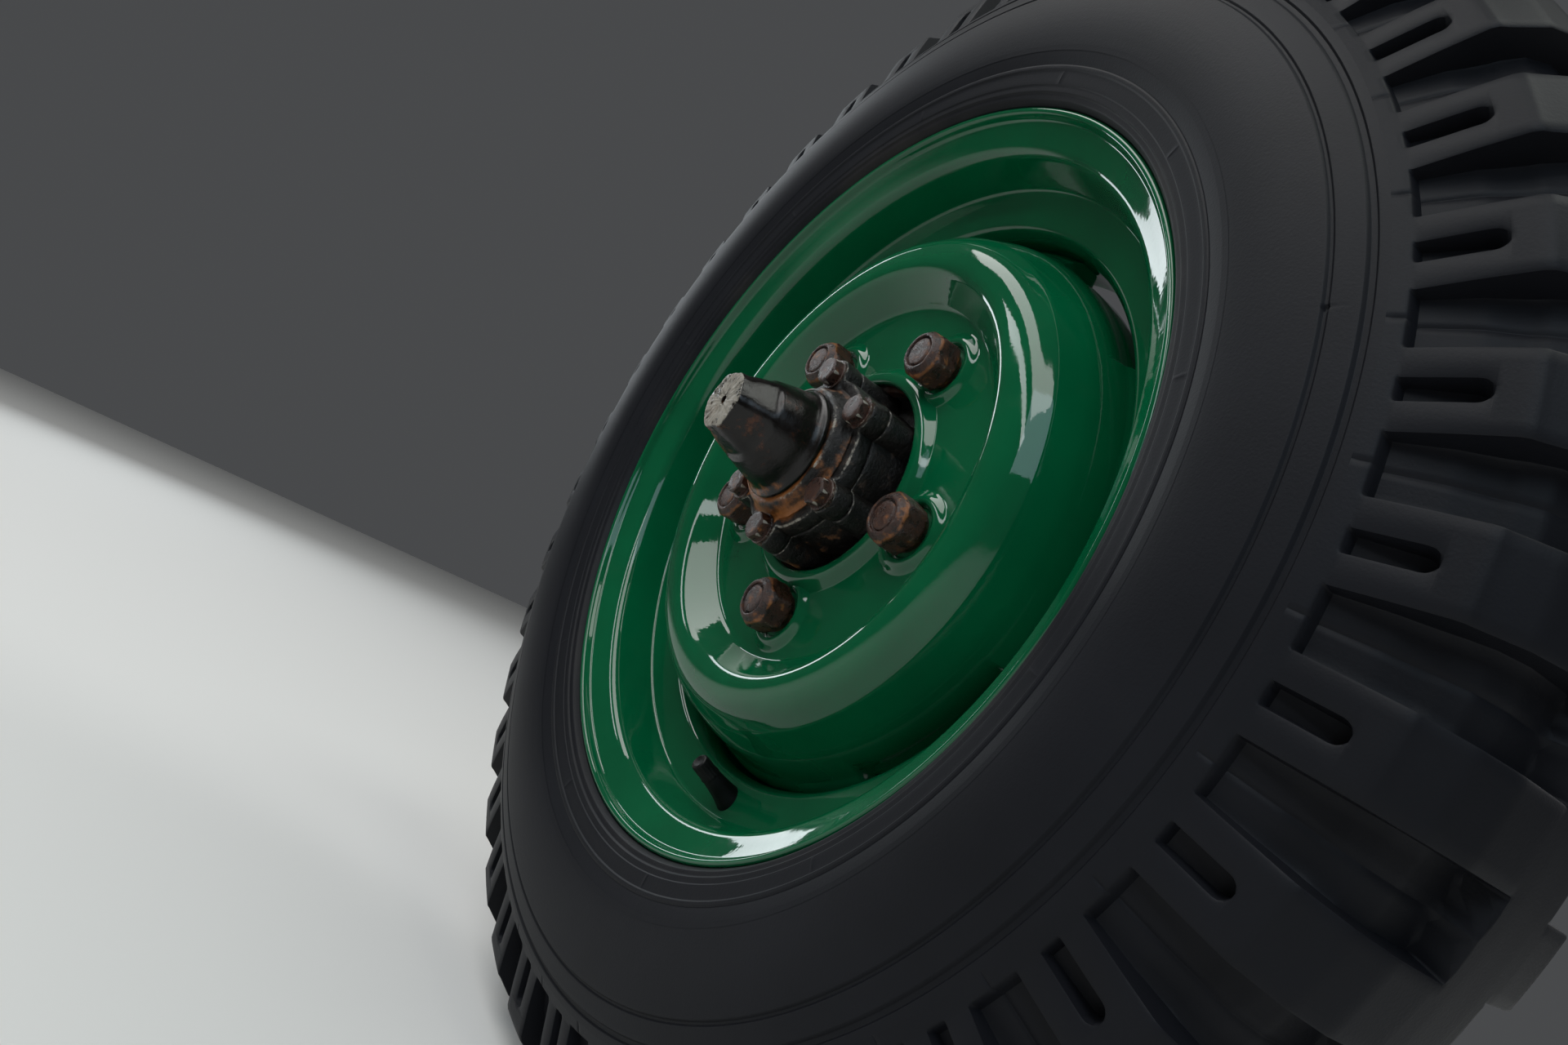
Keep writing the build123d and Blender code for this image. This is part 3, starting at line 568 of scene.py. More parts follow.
def make_finishes():
    """Makes the material of each slot in the record."""
    c = colours()
    rust, casting, steel = c.rust, c.casting, c.steel
    road_film = [0.5 * x + 0.35 * y for x, y in zip(c.dust, rust)]
    green_enamel()
    tyre_rubber()
    # Nuts of plain steel, rusted through: dark red-brown with orange spots, oily enough to glint.
    weathered(
        "rusted_nut_steel", shade(rust, 0.3), shade(rust, 0.8), shade(c.rust_light, 0.7),
        blotch_size=5.263, roughness=0.28,
    )
    # Sand-cast iron under black paint: grainy and nearly black, with a brown film of road dirt.
    weathered(
        "painted_iron_casting", shade(casting, 0.5), casting, road_film,
        blotch_size=10, roughness=0.34, relief=1.0, shine=0.36,
    )
    # Turned and milled steel under black paint: smooth and glossy, and pale metal at the tip.
    weathered(
        "worn_nose_steel", shade(casting, 0.5), shade(casting, 1.2), rust,
        blotch_size=12.5, roughness=0.15, metallic=0.15, relief=0.22, shine=0.36,
    )
    # Cast iron browned by heat and water: dull, dry rust that hides nearly all of the metal.
    weathered(
        "rusted_drum_iron", rust, shade(rust, 1.5), shade(steel, 0.5), blotch_size=16.67, roughness=0.6
    )
    # Pressed sheet in black paint: dark and satin, with grey worn patches.
    weathered(
        "painted_backplate_steel", shade(casting, 0.8), casting, shade(steel, 0.4),
        blotch_size=25, roughness=0.4,
    )
    # A machined forging under old oil: mid grey with a metal sheen, and rust where the oil is gone.
    weathered(
        "oiled_axle_forging", shade(steel, 0.3), shade(steel, 0.5), rust,
        blotch_size=16.67, roughness=0.36, metallic=0.6,
    )
    # Hardened rings, ground smooth: bright, even metal.
    weathered(
        "ground_bearing_steel", steel, steel, shade(steel, 0.8),
        blotch_size=11.11, roughness=0.22, metallic=1.0,
    )
    # Moulded black rubber: nearly black, with a soft sheen on its edges.
    weathered(
        "moulded_valve_rubber", shade(c.valve, 0.76), c.valve, shade(c.valve, 2.5),
        blotch_size=8.333, roughness=0.36, relief=0.3, shine=0.2,
    )


def finish(slot):
    """The material that the record's slot takes."""
    return bpy.data.materials[FINISH_OF_SLOT[slot]]


# Pieces


def tyre_sidewall(side):
    """One sidewall: a moulded profile carried round, with thin radial ribs on its bead band.

    The rib height is a narrow bump in the angle times a window in the radius. One moulded dot is
    sunk in the outer wall's groove, by its distance from a point.
    """
    step = LIP_R + 1.2
    bulge = [(r, BULGE - 0.0052 * (r - 267) ** 2) for r in range(244, 284, 4)]
    line = [
        (205.0, 41.5), (205.4, 53.5), (209.0, 58.0), (216.2, 61.4), (LIP_R + 0.25, 66.0),
        (LIP_R + 0.25, LIP_WIDTH - 1), (step, LIP_WIDTH + 0.8), (223.4, 75.2), (226.0, 75.8),
        (226.8, 76.9), (229.6, 77.3), (230.2, 77.9), (237.2, 79.2), (238.0, 80.0), (239.4, 80.2),
        (240.2, 79.9), *bulge, (285.2, 82.8), (286.0, 81.4), (286.9, 81.2),
        (287.8, 81.8), (296.6, 79.2), (297.5, 77.4), (299.3, 76.9), (300.2, 77.7), (303.5, 76.4),
    ]
    bends = [2, 3, 3, 2, 1, 0.8, 1.2, 0.8, 0.4, 0.4, 0.3, 0.3, 0.4, 0.4, 0.4]
    radii = bends + [50] * len(bulge) + [0.4, 0.3, 0.3, 0.4, 0.4, 0.4, 0.3, 0.4]
    outer = rounded(line, radii, 15, 3.0)
    cavity = np.array([(302, 69.0), (291, 72.0), (263, 74.0), (223, 60.0), (212, 41.5)])
    profile = np.concatenate([outer, cavity])
    radius, width = profile.T
    band_in, band_out = 230, 237
    first_rib = math.radians(RIB_PHASE)
    rib_half = 0.55 / band_in
    angles = extra_angles(380, first_rib + even_angles(RIB_COUNT), rib_half * np.arange(-2, 3))
    dot = math.radians(DOT_PHASE)
    angles = np.unique(np.concatenate([angles, dot + 2.15 / DOT_R * np.linspace(-1, 1, 9)]).round(6))
    near = np.abs(swing_from(angles, first_rib, TURN / RIB_COUNT))
    ridge = np.clip(1.6 - near / rib_half, 0, 1)[:, None]
    window = smooth_step(radius, band_in, band_in + 1) - smooth_step(radius, band_out - 1, band_out)
    from_dot = np.hypot((angles[:, None] - dot) * DOT_R, radius - DOT_R)
    pit = DOT_DEPTH * (1 - smooth_step(from_dot, 0.7, 1.7)) * (side > 0) * (width > 78)
    out = RIM_MID + side * (width + RIB_HEIGHT * ridge * window - pit)
    dust = 0.05 + 0.25 * (1 - smooth_step(radius, 222, 240))
    grid_piece(
        f"tyre_sidewall_{'outer' if side > 0 else 'inner'}", turned(radius, out, angles), "tyre",
        ["tyre"], grime=dust,
    )


def tread_columns(lug_r, half_lug, half_slot, slot_middle, half_pitch):
    """Places across one pitch of the tread, row by row, as distances from the lug's middle line.

    The first columns follow the slot's wall and its round end, the next ones the lug's wall, and
    the last ones lie in the gap. Only the places on one side are returned.
    """
    past = np.maximum(lug_r - slot_middle, 0)
    inner, outer = half_slot - SLOT_EDGE, half_slot + SLOT_EDGE
    beyond = np.clip((past - inner) * 0.9 + 0.25, 0.25, inner)
    foot = np.maximum(np.sqrt(np.maximum(inner ** 2 - past ** 2, 0)), beyond)
    top = np.maximum(np.sqrt(np.maximum(outer ** 2 - past ** 2, 0)), foot + 0.35)
    top = np.minimum(top, np.maximum(outer, foot + 0.35))
    wall = np.append(9.8, half_lug + LUG_EDGE)
    gap = np.array([0.3, 0.72, 0.95, 0.98])
    first = np.stack([0 * foot, foot * 0.6, foot, top, top + 1.0], 1)
    middle = np.broadcast_to(wall, (len(lug_r), len(wall)))
    last = wall[-1] + gap[None, :] * (half_pitch[:, None] - wall[-1])
    return np.concatenate([first, middle, last, half_pitch[:, None]], 1)


def tyre_tread(side, phase):
    """One half of the tread: lugs raised from a floor, blended by a mask over angle and profile.

    Each row of the grid has a place on the lug surface and one on the groove floor. The mask is 1
    on a lug and on the zigzag centre rib, and falls to 0 over a millimetre or two at their edges. A
    slot with a round end is cut from each lug by its distance to the lug's middle line. A fine
    mould line is sunk in the middle of each gap.
    """
    half_lug = sizes().lug_width / MM / 2
    half_slot = sizes().slot_width / MM / 2
    slot_middle = SLOT_END_R - half_slot
    count = sizes().lug_count
    floor = TYRE_R - TREAD_DEPTH
    # Key places: lug radius, lug width, floor radius, floor width, rows up to the next key
    keys = np.array([
        (303.5, 76.4, 303.5, 76.4, 3), (308.0, 74.0, 308.0, 74.0, 2), (308.9, 73.5, 308.6, 73.2, 2),
        (310.0, 73.1, 309.0, 67.5, 5), (327.0, 68.8, 324.5, 59.5, 3), (334.0, 66.8, 329.5, 55.5, 3),
        (341.8, 64.5, 335.0, 51.5, 3), (344.2, 63.0, 337.0, 50.5, 3), (346.2, 60.4, 338.8, 49.5, 5),
        (356.0, 49.5, 345.0, 44.5, 5), (TYRE_R - 3, 36.0, floor - 2.5, 35.0, 7),
        (TYRE_R - 0.4, 16.0, floor - 0.1, 16.0, 10), (TYRE_R, 8.0, floor, 8.0, 2),
        (TYRE_R, 0.0, floor, 0.0, 1),
    ])
    even = [k + np.arange(n) / n for k, n in enumerate(keys[:-1, 4].astype(int))]
    round_end = slot_middle + np.append(
        (half_slot - SLOT_EDGE) * np.sin(np.radians([0, 25, 45, 62, 78, 90])),
        [half_slot + SLOT_EDGE, half_slot + 1.4, half_slot + 2.2],
    )
    at_end = np.interp(round_end, keys[:, 0], np.arange(len(keys)))
    spots = np.sort(np.concatenate([*even, [len(keys) - 1], at_end]))
    lug_r, lug_w, floor_r, floor_w = (
        np.interp(spots, np.arange(len(keys)), keys[:, column]) for column in range(4)
    )
    half_pitch = math.pi * lug_r / count
    columns = tread_columns(lug_r, half_lug, half_slot, slot_middle, half_pitch)
    offset = np.concatenate([-columns[:, :0:-1], columns[:, :-1]], 1)
    size = np.abs(offset)
    radius = lug_r[:, None]
    lug = np.interp(size, half_lug + LUG_EDGE, [1, 0.96, 0.04, 0])
    distance = np.hypot(offset, np.maximum(radius - slot_middle, 0))
    slot = np.interp(distance, half_slot + np.array([-SLOT_EDGE, SLOT_EDGE, 1.4]), [0.1, 0.95, 1])
    rib_half, zigzag = 12, 3
    rib_edge = rib_half + zigzag * size / half_pitch[:, None]
    rib = 1 - smooth_step(lug_w[:, None], rib_edge, rib_edge + 1.5)
    mask = np.maximum(lug * slot, rib)
    fade = smooth_step(radius, 303, 305) * smooth_step(lug_w[:, None], 20, 24)
    seam = -0.35 * (size > half_pitch[:, None] * 0.985) * fade
    upward = smooth_step(radius, 320, 362)
    tall = floor_r[:, None] + (radius - floor_r[:, None]) * mask + seam * upward
    wide = floor_w[:, None] + (lug_w[:, None] - floor_w[:, None]) * mask + seam * (1 - upward)
    relief = np.hypot(lug_r - floor_r, lug_w - floor_w)[:, None]
    dust = 0.05 + 0.1 * (1 - mask) * smooth_step(relief, 1, 5)
    turns = even_angles(count)[:, None, None]
    angles = (phase + turns + (offset / radius).T[None]).reshape(-1, len(spots))
    inside = np.array([(342.5, 0.5), (338.0, 30.0), (322.0, 50.0), (302.0, 68.0)])
    closing = (*inside.T, 0 * inside[:, 0])
    tall, wide, dust = (
        np.tile(np.concatenate([part, np.repeat(rows[:, None], part.shape[1], 1)]).T, (count, 1))
        for part, rows in zip((tall, wide, dust), closing)
    )
    angles = np.concatenate([angles, np.repeat(angles[:, -1:], len(inside), 1)], 1)
    grid_piece(
        f"tyre_tread_{'outer' if side > 0 else 'inner'}", turned(tall, RIM_MID + side * wide, angles),
        "tyre", ["tyre"], grime=dust, sharp=50,
    )


def rim_shell():
    """The rolled rim: a sheet outline with round lips, carried round the axle."""
    gauge = sizes().rim_gauge / MM
    lip = LIP_R - gauge / 2
    half = [
        (lip, LIP_WIDTH - gauge / 2), (217.6, 65.8), (202.6, 58.2), (197.2, 31.8), (175.6, 27.0),
        (172.3, 21.0),
    ]
    points = [(r, RIM_MID + w) for r, w in half] + [(r, RIM_MID - w) for r, w in half[::-1]]
    bends = [5, 7, 5, 4, 8]
    loop = sheet_loop(rounded(points, bends + bends[::-1], 6.0, 6.0), gauge)
    grid_piece("rim_shell", turned(*loop.T, even_angles(264)), "green_enamel", ["rim"])


def disc_pressing():
    """The pressed wheel disc: a sheet carried round, whose wall flares out to the rim but at four vents.

    At a vent the wall runs straight down: the sheet's radius is the soft minimum of the flared
    wall's and the vent's, which rises steeply at the vent's two ends.
    """
    gauge = sizes().disc_gauge / MM
    mid = DISC_SEAT + gauge / 2
    foot = sizes().disc_foot / MM - gauge / 2
    points = [
        (60.5, mid + 5.5), (63.5, mid + 5.5), (69, mid), (110, mid), (126.5, mid + 19),
        (134, mid + 19.2), (141.5, mid + 17), (149, mid + 8.5), (156.5, 68.0), (foot - 5.5, 49.0),
        (foot, 41.0), (foot, 30.0),
    ]
    line = rounded(points, [2.6, 4, 9, 9, 20, 14, 6, 30, 8, 5], 6.0, 2.2)
    loop = sheet_loop(line, gauge)
    middle = sheet_loop(line, 0)[:, 0]
    first_vent = math.radians(VENT_PHASE)
    ends = np.linspace(VENT_HALF_ANGLE - 1.8, VENT_HALF_ANGLE + 1.8, 12)
    offsets = np.radians([*-ends, *np.linspace(-13, 13, 8), *ends])
    angles = extra_angles(230, first_vent + even_angles(VENT_COUNT), offsets)
    swing = np.degrees(np.abs(swing_from(angles, first_vent, TURN / VENT_COUNT)))
    rise = 14 * smooth_step(swing, VENT_HALF_ANGLE - 1.0, VENT_HALF_ANGLE + 1.2)
    limit = sizes().vent_face / MM - gauge / 2 + rise
    radius = loop[:, 0] - soft_excess(middle, limit[:, None], 0.45)
    grid = turned(radius, loop[:, 1], angles)
    grid_piece("disc_pressing", grid, "green_enamel", ["wheel_disc"])


def nut_bosses():
    """The pressed rings round the wheel nuts: each is a low turned crest on the disc's flat face."""
    face = DISC_SEAT + sizes().disc_gauge / MM
    crest = [
        (0, -3.5), (24, -3.5), (24.4, -0.5), (23.6, -0.04), (22.9, 0.08), (22.2, 0.4), (21.2, 1.15),
        (20.2, 1.9), (19.2, 2.55), (18.2, 3.0), (17.3, 3.15), (16.4, 3.05), (15.6, 2.7), (14.8, 2.0),
        (14.1, 1.1), (13.5, 0.1), (13.0, -0.8), (12.7, -1.6), (0, -1.6),
    ]
    radius, height = np.array(crest).T
    ring = turned(radius, face + height, even_angles(96))
    for i, place in enumerate(STUD_PLACES):
        grid_piece(
            f"nut_boss_{i + 1}", ring + point_at(place), "green_enamel", ["wheel_disc"],
            closed=(True, False), sharp=60,
        )


def hexagon(angles, flats, turn, soft):
    """Radius of a hexagon with rubbed corners: a soft minimum of the distances to its six flats."""
    corner = flats / math.sqrt(3)
    swing = (angles - turn)[:, None] - np.arange(6) * math.pi / 3
    reach_out = flats / 2 / np.maximum(np.cos(swing), 0.3)
    return corner - soft * np.log(np.exp((corner - reach_out) / soft).sum(1))


def hex_head(name, place, profile, flats, turn, seed, nodes, soft, dents):
    """A nut or bolt head: a turned profile cut by a hexagon, with dents from the wrench.

    Each row has (free radius, out, on the hexagon or not, grime), and what is left out at its end
    is 0. Where a row is on the hexagon its radius is the lesser of the free one and the hexagon's.
    """
    angles = even_angles(120) + turn
    free, out, on_hex, grime = filled(profile, 4).T
    flat = hexagon(angles, flats, turn, soft)[:, None]
    radius = np.where(on_hex > 0, np.minimum(free, flat), free)
    local = turned(radius, out, angles)
    rough = lattice_noise(local, 3.2, seed) * dents + lattice_noise(local, 9.0, seed + 1) * dents
    rough = rough * (radius > 1)
    swell(local, rough, np.maximum(radius, 6))
    local[..., 1] += np.abs(rough) * 0.5
    corner = 0.45 * smooth_step(radius, flats * 0.525, flats * 0.565) + 0.3 * (out > out.max() - 2.5)
    grid_piece(
        name, local + point_at(place), "rusty_steel", nodes, wear=corner, grime=grime,
        closed=(True, False),
    )


def wheel_nuts():
    """Five coned wheel nuts, each with its stud's end sunk a little in its mouth."""
    flats = sizes().nut_flats / MM
    half, corner = flats / 2, flats / math.sqrt(3)
    seat, end = NUT_SEAT, NUT_END - 1.0
    profile = [
        (0, seat - 5), (10.4, seat - 5, 0, 0.3), (11.4, seat - 2, 0, 0.35), (12.3, seat + 0.3, 0, 0.3),
        (half - 0.1, seat + 1.3, 0, 0.2), (corner - 0.9, seat + 2.2, 1, 0.1), (corner, seat + 3.4, 1),
        (corner, seat + 7, 1), (corner, end - 7.4, 1), (corner - 0.15, end - 6.2, 1, 0.1),
        (corner - 0.7, end - 5.0, 1, 0.3), (corner - 1.4, end - 3.9, 1, 0.5),
        (corner - 2.1, end - 3.0, 1, 0.5), (corner - 2.8, end - 2.1, 0, 0.3),
        (corner - 3.6, end - 1.2, 0, 0.1), (corner - 4.3, end - 0.4), (corner - 5.0, end), (9.6, end),
        (9.1, end - 0.3), (8.8, end - 1.5), (8.1, end - 1.7), (7.8, end - 0.9, 0, 0.2),
        (7.3, end - 0.4, 0, 0.32), (6.3, end - 0.2, 0, 0.32), (3.0, end - 0.15, 0, 0.32),
        (0, end - 0.15, 0, 0.32),
    ]
    turns = np.radians([12, 41, 25, 50, 5])
    for i, place in enumerate(STUD_PLACES):
        hex_head(
            f"nut_and_stud_{i + 1}", place, profile, flats, turns[i], 11 + i,
            [f"wheel_nut_{i + 1}", f"wheel_stud_{i + 1}"], soft=0.4, dents=0.26,
        )


def drive_bolts():
    """Six drive bolts: a plain washer under a hexagon head with a rounded top."""
    flats = sizes().bolt_flats / MM
    corner = flats / math.sqrt(3)
    face, end = HUB_END + FLANGE_THICK, BOLT_HEAD_END
    profile = [
        (0, face - 3), (8.9, face - 3), (8.9, face + 0.9, 0, 0.2), (8.5, face + 1.2, 0, 0.2),
        (corner + 0.1, face + 1.2, 1, 0.2), (corner, face + 1.8, 1, 0.1), (corner, end - 2.2, 1),
        (corner - 0.3, end - 1.3, 1), (corner - 0.9, end - 0.6, 1), (corner - 1.8, end - 0.1),
        (corner - 2.6, end, 0, 0.1), (3.5, end - 0.1, 0, 0.1), (0, end - 0.2, 0, 0.1),
    ]
    turns = np.radians([0, 22, 40, 12, 51, 33])
    for i, place in enumerate(BOLT_PLACES):
        hex_head(
            f"drive_bolt_head_{i + 1}", place, profile, flats, turns[i], 31 + i,
            [f"drive_bolt_{i + 1}"], soft=0.35, dents=0.14,
        )


def lobed(angles):
    """Outline of the hub's end: a circle joined to six lobes by a soft maximum of their radii."""
    soft = 0.9
    radii = [np.full_like(angles, HUB_WAIST_R)]
    for pcr, place in BOLT_PLACES:
        swing = swing_from(angles, place)
        inside = LOBE_R ** 2 - (pcr * np.sin(swing)) ** 2
        hit = (inside > 0) & (np.abs(swing) < math.pi / 2)
        radii.append(np.where(hit, pcr * np.cos(swing) + np.sqrt(np.maximum(inside, 0)), 0))
    return HUB_WAIST_R + soft * np.log(sum(np.exp((r - HUB_WAIST_R) / soft) for r in radii))


def lobed_casting(name, nodes, rows, seed):
    """A casting whose rows run from lobed to round: radius = share of lobed outline plus the rest.

    Each row holds (round radius, out, lobed share, outline inset, wear, grime, dip), and what is
    left out at its end is 0. The dip lowers the row away from the bolts, which leaves a round boss
    under each. The cast skin is two noises, 4 and 11 mm across.
    """
    angles = even_angles(480)
    round_r, out, share, inset, wear, grime, dip = filled(rows, 7).T
    outline = lobed(angles)[:, None]
    grid = turned((outline - inset) * share + round_r * (1 - share), out, angles)
    bolts = [point_at(place) for place in BOLT_PLACES]
    apart = np.min([np.hypot(grid[..., 0] - x, grid[..., 2] - z) for x, _, z in bolts], 0)
    grid[..., 1] += dip * smooth_step(apart, BOSS_R, BOSS_R + 3)
    skin = 0.5 * lattice_noise(grid, 4.0, seed) + lattice_noise(grid, 11.0, seed + 1)
    swell(grid, CAST_SKIN * skin, 50)
    rusty = 0.9 + 0.35 * np.cos(angles - math.radians(RUST_PHASE))[:, None]
    grid_piece(name, grid, "black_casting", nodes, wear=1.06 * wear, grime=grime * rusty)


def hub_casting():
    """The hub: flange and barrel behind the wheel disc, and the lobed end that passes through it.

    The brake drum's plate lies between the flange's front and the disc.
    """
    end, front = HUB_END, DISC_SEAT - 6
    rows = [
        (36.2, end), (40, end), (40, end, 1, 1.2, 0.2, 0.1), (40, end - 0.2, 1, 0.8, 0.44, 0.1),
        (40, end - 0.6, 1, 0.4, 0.46, 0.1), (40, end - 1.2, 1, 0.25, 0.2, 0.2),
        (40, end - 5, 1, 0.3, 0.05, 0.25), (40, end - 13, 1, 0.4, 0, 0.3),
        (40, DISC_SEAT, 1, 0.5, 0, 0.2), (40, front + 0.5, 1, 0.5), (52, front, 0.2), (97, front),
        (98, front - 1), (98, front - 9), (97, front - 10), (68, front - 10), (62, 54), (58, 48),
        (50, 22), (49, 21), (42.2, 21), (42.2, 44), (36, 44), (30, 74), (36.2, 74),
    ]
    lobed_casting("hub_casting", ["hub"], rows, 51)


def drive_flange_casting():
    """The drive flange: the hub's lobes again, bosses on its face and a tapered collar at the nose."""
    back, face, top = HUB_END + 0.3, HUB_END + FLANGE_THICK, NOSE_BASE
    rows = [
        (27, back), (40, back), (40, back, 1, 1.2, 0.2), (40, back + 0.3, 1, 0.7, 0.44),
        (40, back + 0.8, 1, 0.25, 0.4), (40, back + 1.6, 1, 0, 0.15, 0.1), (40, back + 5, 1, 0, 0, 0.1),
        (40, face - 4.5, 1, 0.1, 0.1, 0.15, 1.0), (40, face - 1.8, 1, 0.3, 0.3, 0.1, 2.0),
        (40, face - 0.8, 1, 0.7, 0.48, 0.2, 2.4), (40, face - 0.2, 1, 1.4, 0.46, 0.25, 2.5),
        (40, face, 1, 2.4, 0.3, 0.2, 2.5), (40, face, 1, 4.5, 0.15, 0.32, 2.5),
        (40.5, face, 0.8, 6, 0.1, 0.42, 2.4), (40.5, face, 0.5, 6, 0.1, 0.52, 2.0),
        (40.2, face, 0.2, 5, 0.1, 0.6, 1.4), (39.2, face + 0.1, 0, 0, 0.15, 0.62, 0.8),
        (38.4, face + 0.7, 0, 0, 0.2, 0.6, 0.2), (37.9, face + 1.8, 0, 0, 0.25, 0.5),
        (37.0, face + 4.2, 0, 0, 0.3, 0.46), (36.0, top - 1.5, 0, 0, 0.35, 0.42),
        (35.4, top - 0.6, 0, 0, 0.46, 0.42), (34.6, top - 0.1, 0, 0, 0.42, 0.5),
        (33.6, top, 0, 0, 0.2, 0.6), (32.4, top - 0.3, 0, 0, 0, 0.6), (20, top - 0.3), (20, face),
        (27, face),
    ]
    lobed_casting("drive_flange_casting", ["drive_flange"], rows, 61)


def nose_cap():
    """The nose: a convex taper with six wrench flats, on a turned ring with a fillet above it.

    The body radius is a profile in out. A flat limits it to the flat's distance, which grows from
    the tip at a steady slope and then rises clear of the body, over the cosine from the flat's
    middle. The surface is the soft minimum of the two. The tip runs out of true, as on the real one.
    """
    base, tip = NOSE_BASE, NOSE_TIP - 1.6
    body = np.array([
        (32.0, base), (32.5, base + 0.5), (32.5, base + 2.0), (32.1, base + 2.6), (31.0, base + 3.2),
        (30.1, base + 4.1), (29.4, base + 5.2), (28.9, base + 6.6), (28.5, base + 9), (28.0, base + 12),
        (27.3, base + 15), (26.4, base + 18), (25.5, base + 21), (24.9, base + 23), (24.5, base + 24.2),
        (24.2, base + 25.2), (23.9, base + 26.2), (23.5, base + 27.4), (22.9, base + 29), (22.0, base + 32),
        (21.0, base + 35), (19.8, base + 38), (18.6, base + 40.5), (17.7, base + 42.5), (17.2, tip - 1.2),
        (16.7, tip - 0.6), (15.9, tip - 0.15), (14.6, tip), (13, tip), (11, tip), (9, tip), (7, tip),
        (5, tip), (3.4, tip), (2.5, tip - 0.4), (2.2, tip - 5), (0, tip - 5.5),
    ])
    angles = even_angles(180)
    body_r, out = body.T
    depth = tip - out
    tip_flat, slope, flat_end = 15.5, 0.31, 20.5
    flat_at = tip_flat + slope * depth + 6 * smooth_step(depth, flat_end, flat_end + 3)
    flat = flat_at / np.cos(swing_from(angles, BOLT_PLACES[0][1], TURN / 6))[:, None]
    flattened = (out > base + 12) & (body_r > 14)
    radius = np.where(flattened, body_r - soft_excess(body_r, flat, 0.45), body_r)
    grid = turned(radius, out, angles)
    near_tip = smooth_step(out, tip - 5, tip - 1)
    rough = 0.1 * lattice_noise(grid, 5.0, 71) + 0.3 * lattice_noise(grid, 13, 72)
    rough = (rough + near_tip * 0.6 * lattice_noise(grid, 2.4, 74)) * (out > base + 5)
    swell(grid, rough, 30)
    grid[..., 1] += 1.2 * np.abs(lattice_noise(grid, 1.7, 73)) * (body_r < 16.2)
    rise = np.clip((out - base) / (tip - base), 0, 1)
    grid[..., 0] += 0.29 * NOSE_RUNOUT * rise
    grid[..., 2] += NOSE_RUNOUT * rise
    wear = np.interp(out, [tip - 3, tip - 1.0, tip - 0.3], [0.0, 0.46, 0.58]) + 0 * radius
    rusty = 0.75 + 0.5 * np.cos(angles - math.radians(RUST_PHASE))[:, None]
    grime = np.interp(out, [base + 1, base + 3.5, base + 12, tip - 16], [0.3, 0.42, 0.2, 0.34]) * rusty
    pole = np.broadcast_to([0, -base, 0], (len(angles), 1, 3))
    grid = np.concatenate([pole, grid], 1)
    wear, grime = (np.concatenate([mark[:, :1], mark], 1) for mark in (wear, grime))
    grid_piece(
        "nose_cap", grid, "worn_steel", ["hub_nose", "nose_ring"],
        wear=wear, grime=grime, closed=(True, False),
    )


def valve():
    """The valve: a rubber stem with a wide foot, and a knurled cap whose radius ripples by angle."""
    seat_r, seat_out, lean = 186.3, 56.5, 0.43
    place = math.radians(VALVE_PHASE)
    outward = point_at((1, place))
    direction = -outward * math.sin(lean) + np.array([0, -math.cos(lean), 0])
    side = np.array([-math.sin(place), 0, math.cos(place)])
    third = np.cross(direction, side)
    foot = outward * seat_r + np.array([0, -seat_out, 0])
    angles = even_angles(60)

    def along(profile, ripple):
        """A profile of (radius, height) turned about the valve's own leaning line."""
        radius, height = np.array(profile, float).T
        radius = radius * (1 + ripple * np.cos(angles * 15)[:, None] * (radius > 4))
        return (
            foot + direction * height[:, None]
            + (radius * np.cos(angles)[:, None])[..., None] * side
            + (radius * np.sin(angles)[:, None])[..., None] * third
        )

    stem = [
        (0, -4), (7.4, -4), (8.5, -1.5), (8.9, 1.6), (8.7, 2.8), (7.9, 3.6), (7.7, 4.6), (7.1, 7),
        (6.3, 11), (5.7, 16), (5.2, 21), (4.7, 22.6), (0, 22.6),
    ]
    cap = [
        (0, 22.2), (4.5, 22.2), (5.3, 22.6), (5.3, 23.8), (4.9, 24.4), (4.9, 32.6), (4.5, 33.6),
        (3.6, 34.0), (3.1, 33.6), (0, 33.5),
    ]
    grid_piece(
        "valve_rubber_stem", along(stem, 0), "black_rubber", ["valve_stem"], closed=(True, False)
    )
    grid_piece(
        "valve_dust_cap", along(cap, 0.03), "black_rubber", ["valve_cap"], closed=(True, False)
    )


# Operators


class MakeTyre(bpy.types.Operator):
    """Builds the tyre: two sidewalls and two halves of lugged tread"""

    bl_idname = "road_wheel.make_tyre"
    bl_label = "Make tyre"

    def execute(self, context):
        phase = math.radians(LUG_PHASE)
        half_turn = math.pi / sizes().lug_count
        for side, start in ((1, phase), (-1, phase + half_turn)):
            tyre_sidewall(side)
            tyre_tread(side, start)
        return {"FINISHED"}


class MakeWheel(bpy.types.Operator):
    """Builds the rolled rim and the pressed wheel disc"""

    bl_idname = "road_wheel.make_wheel"
    bl_label = "Make rim and disc"

    def execute(self, context):
        rim_shell()
        disc_pressing()
        nut_bosses()
        return {"FINISHED"}


class MakeHub(bpy.types.Operator):
    """Builds the hub, the drive flange and the nose"""

    bl_idname = "road_wheel.make_hub"
    bl_label = "Make hub and nose"

    def execute(self, context):
        hub_casting()
        drive_flange_casting()
        nose_cap()
        return {"FINISHED"}


class MakeFasteners(bpy.types.Operator):
    """Builds the wheel nuts and the drive bolts"""

    bl_idname = "road_wheel.make_fasteners"
    bl_label = "Make nuts and bolts"

    def execute(self, context):
        wheel_nuts()
        drive_bolts()
        return {"FINISHED"}


class MakeValve(bpy.types.Operator):
    """Builds the tyre valve and its cap"""

    bl_idname = "road_wheel.make_valve"
    bl_label = "Make valve"

    def execute(self, context):
        valve()
        return {"FINISHED"}


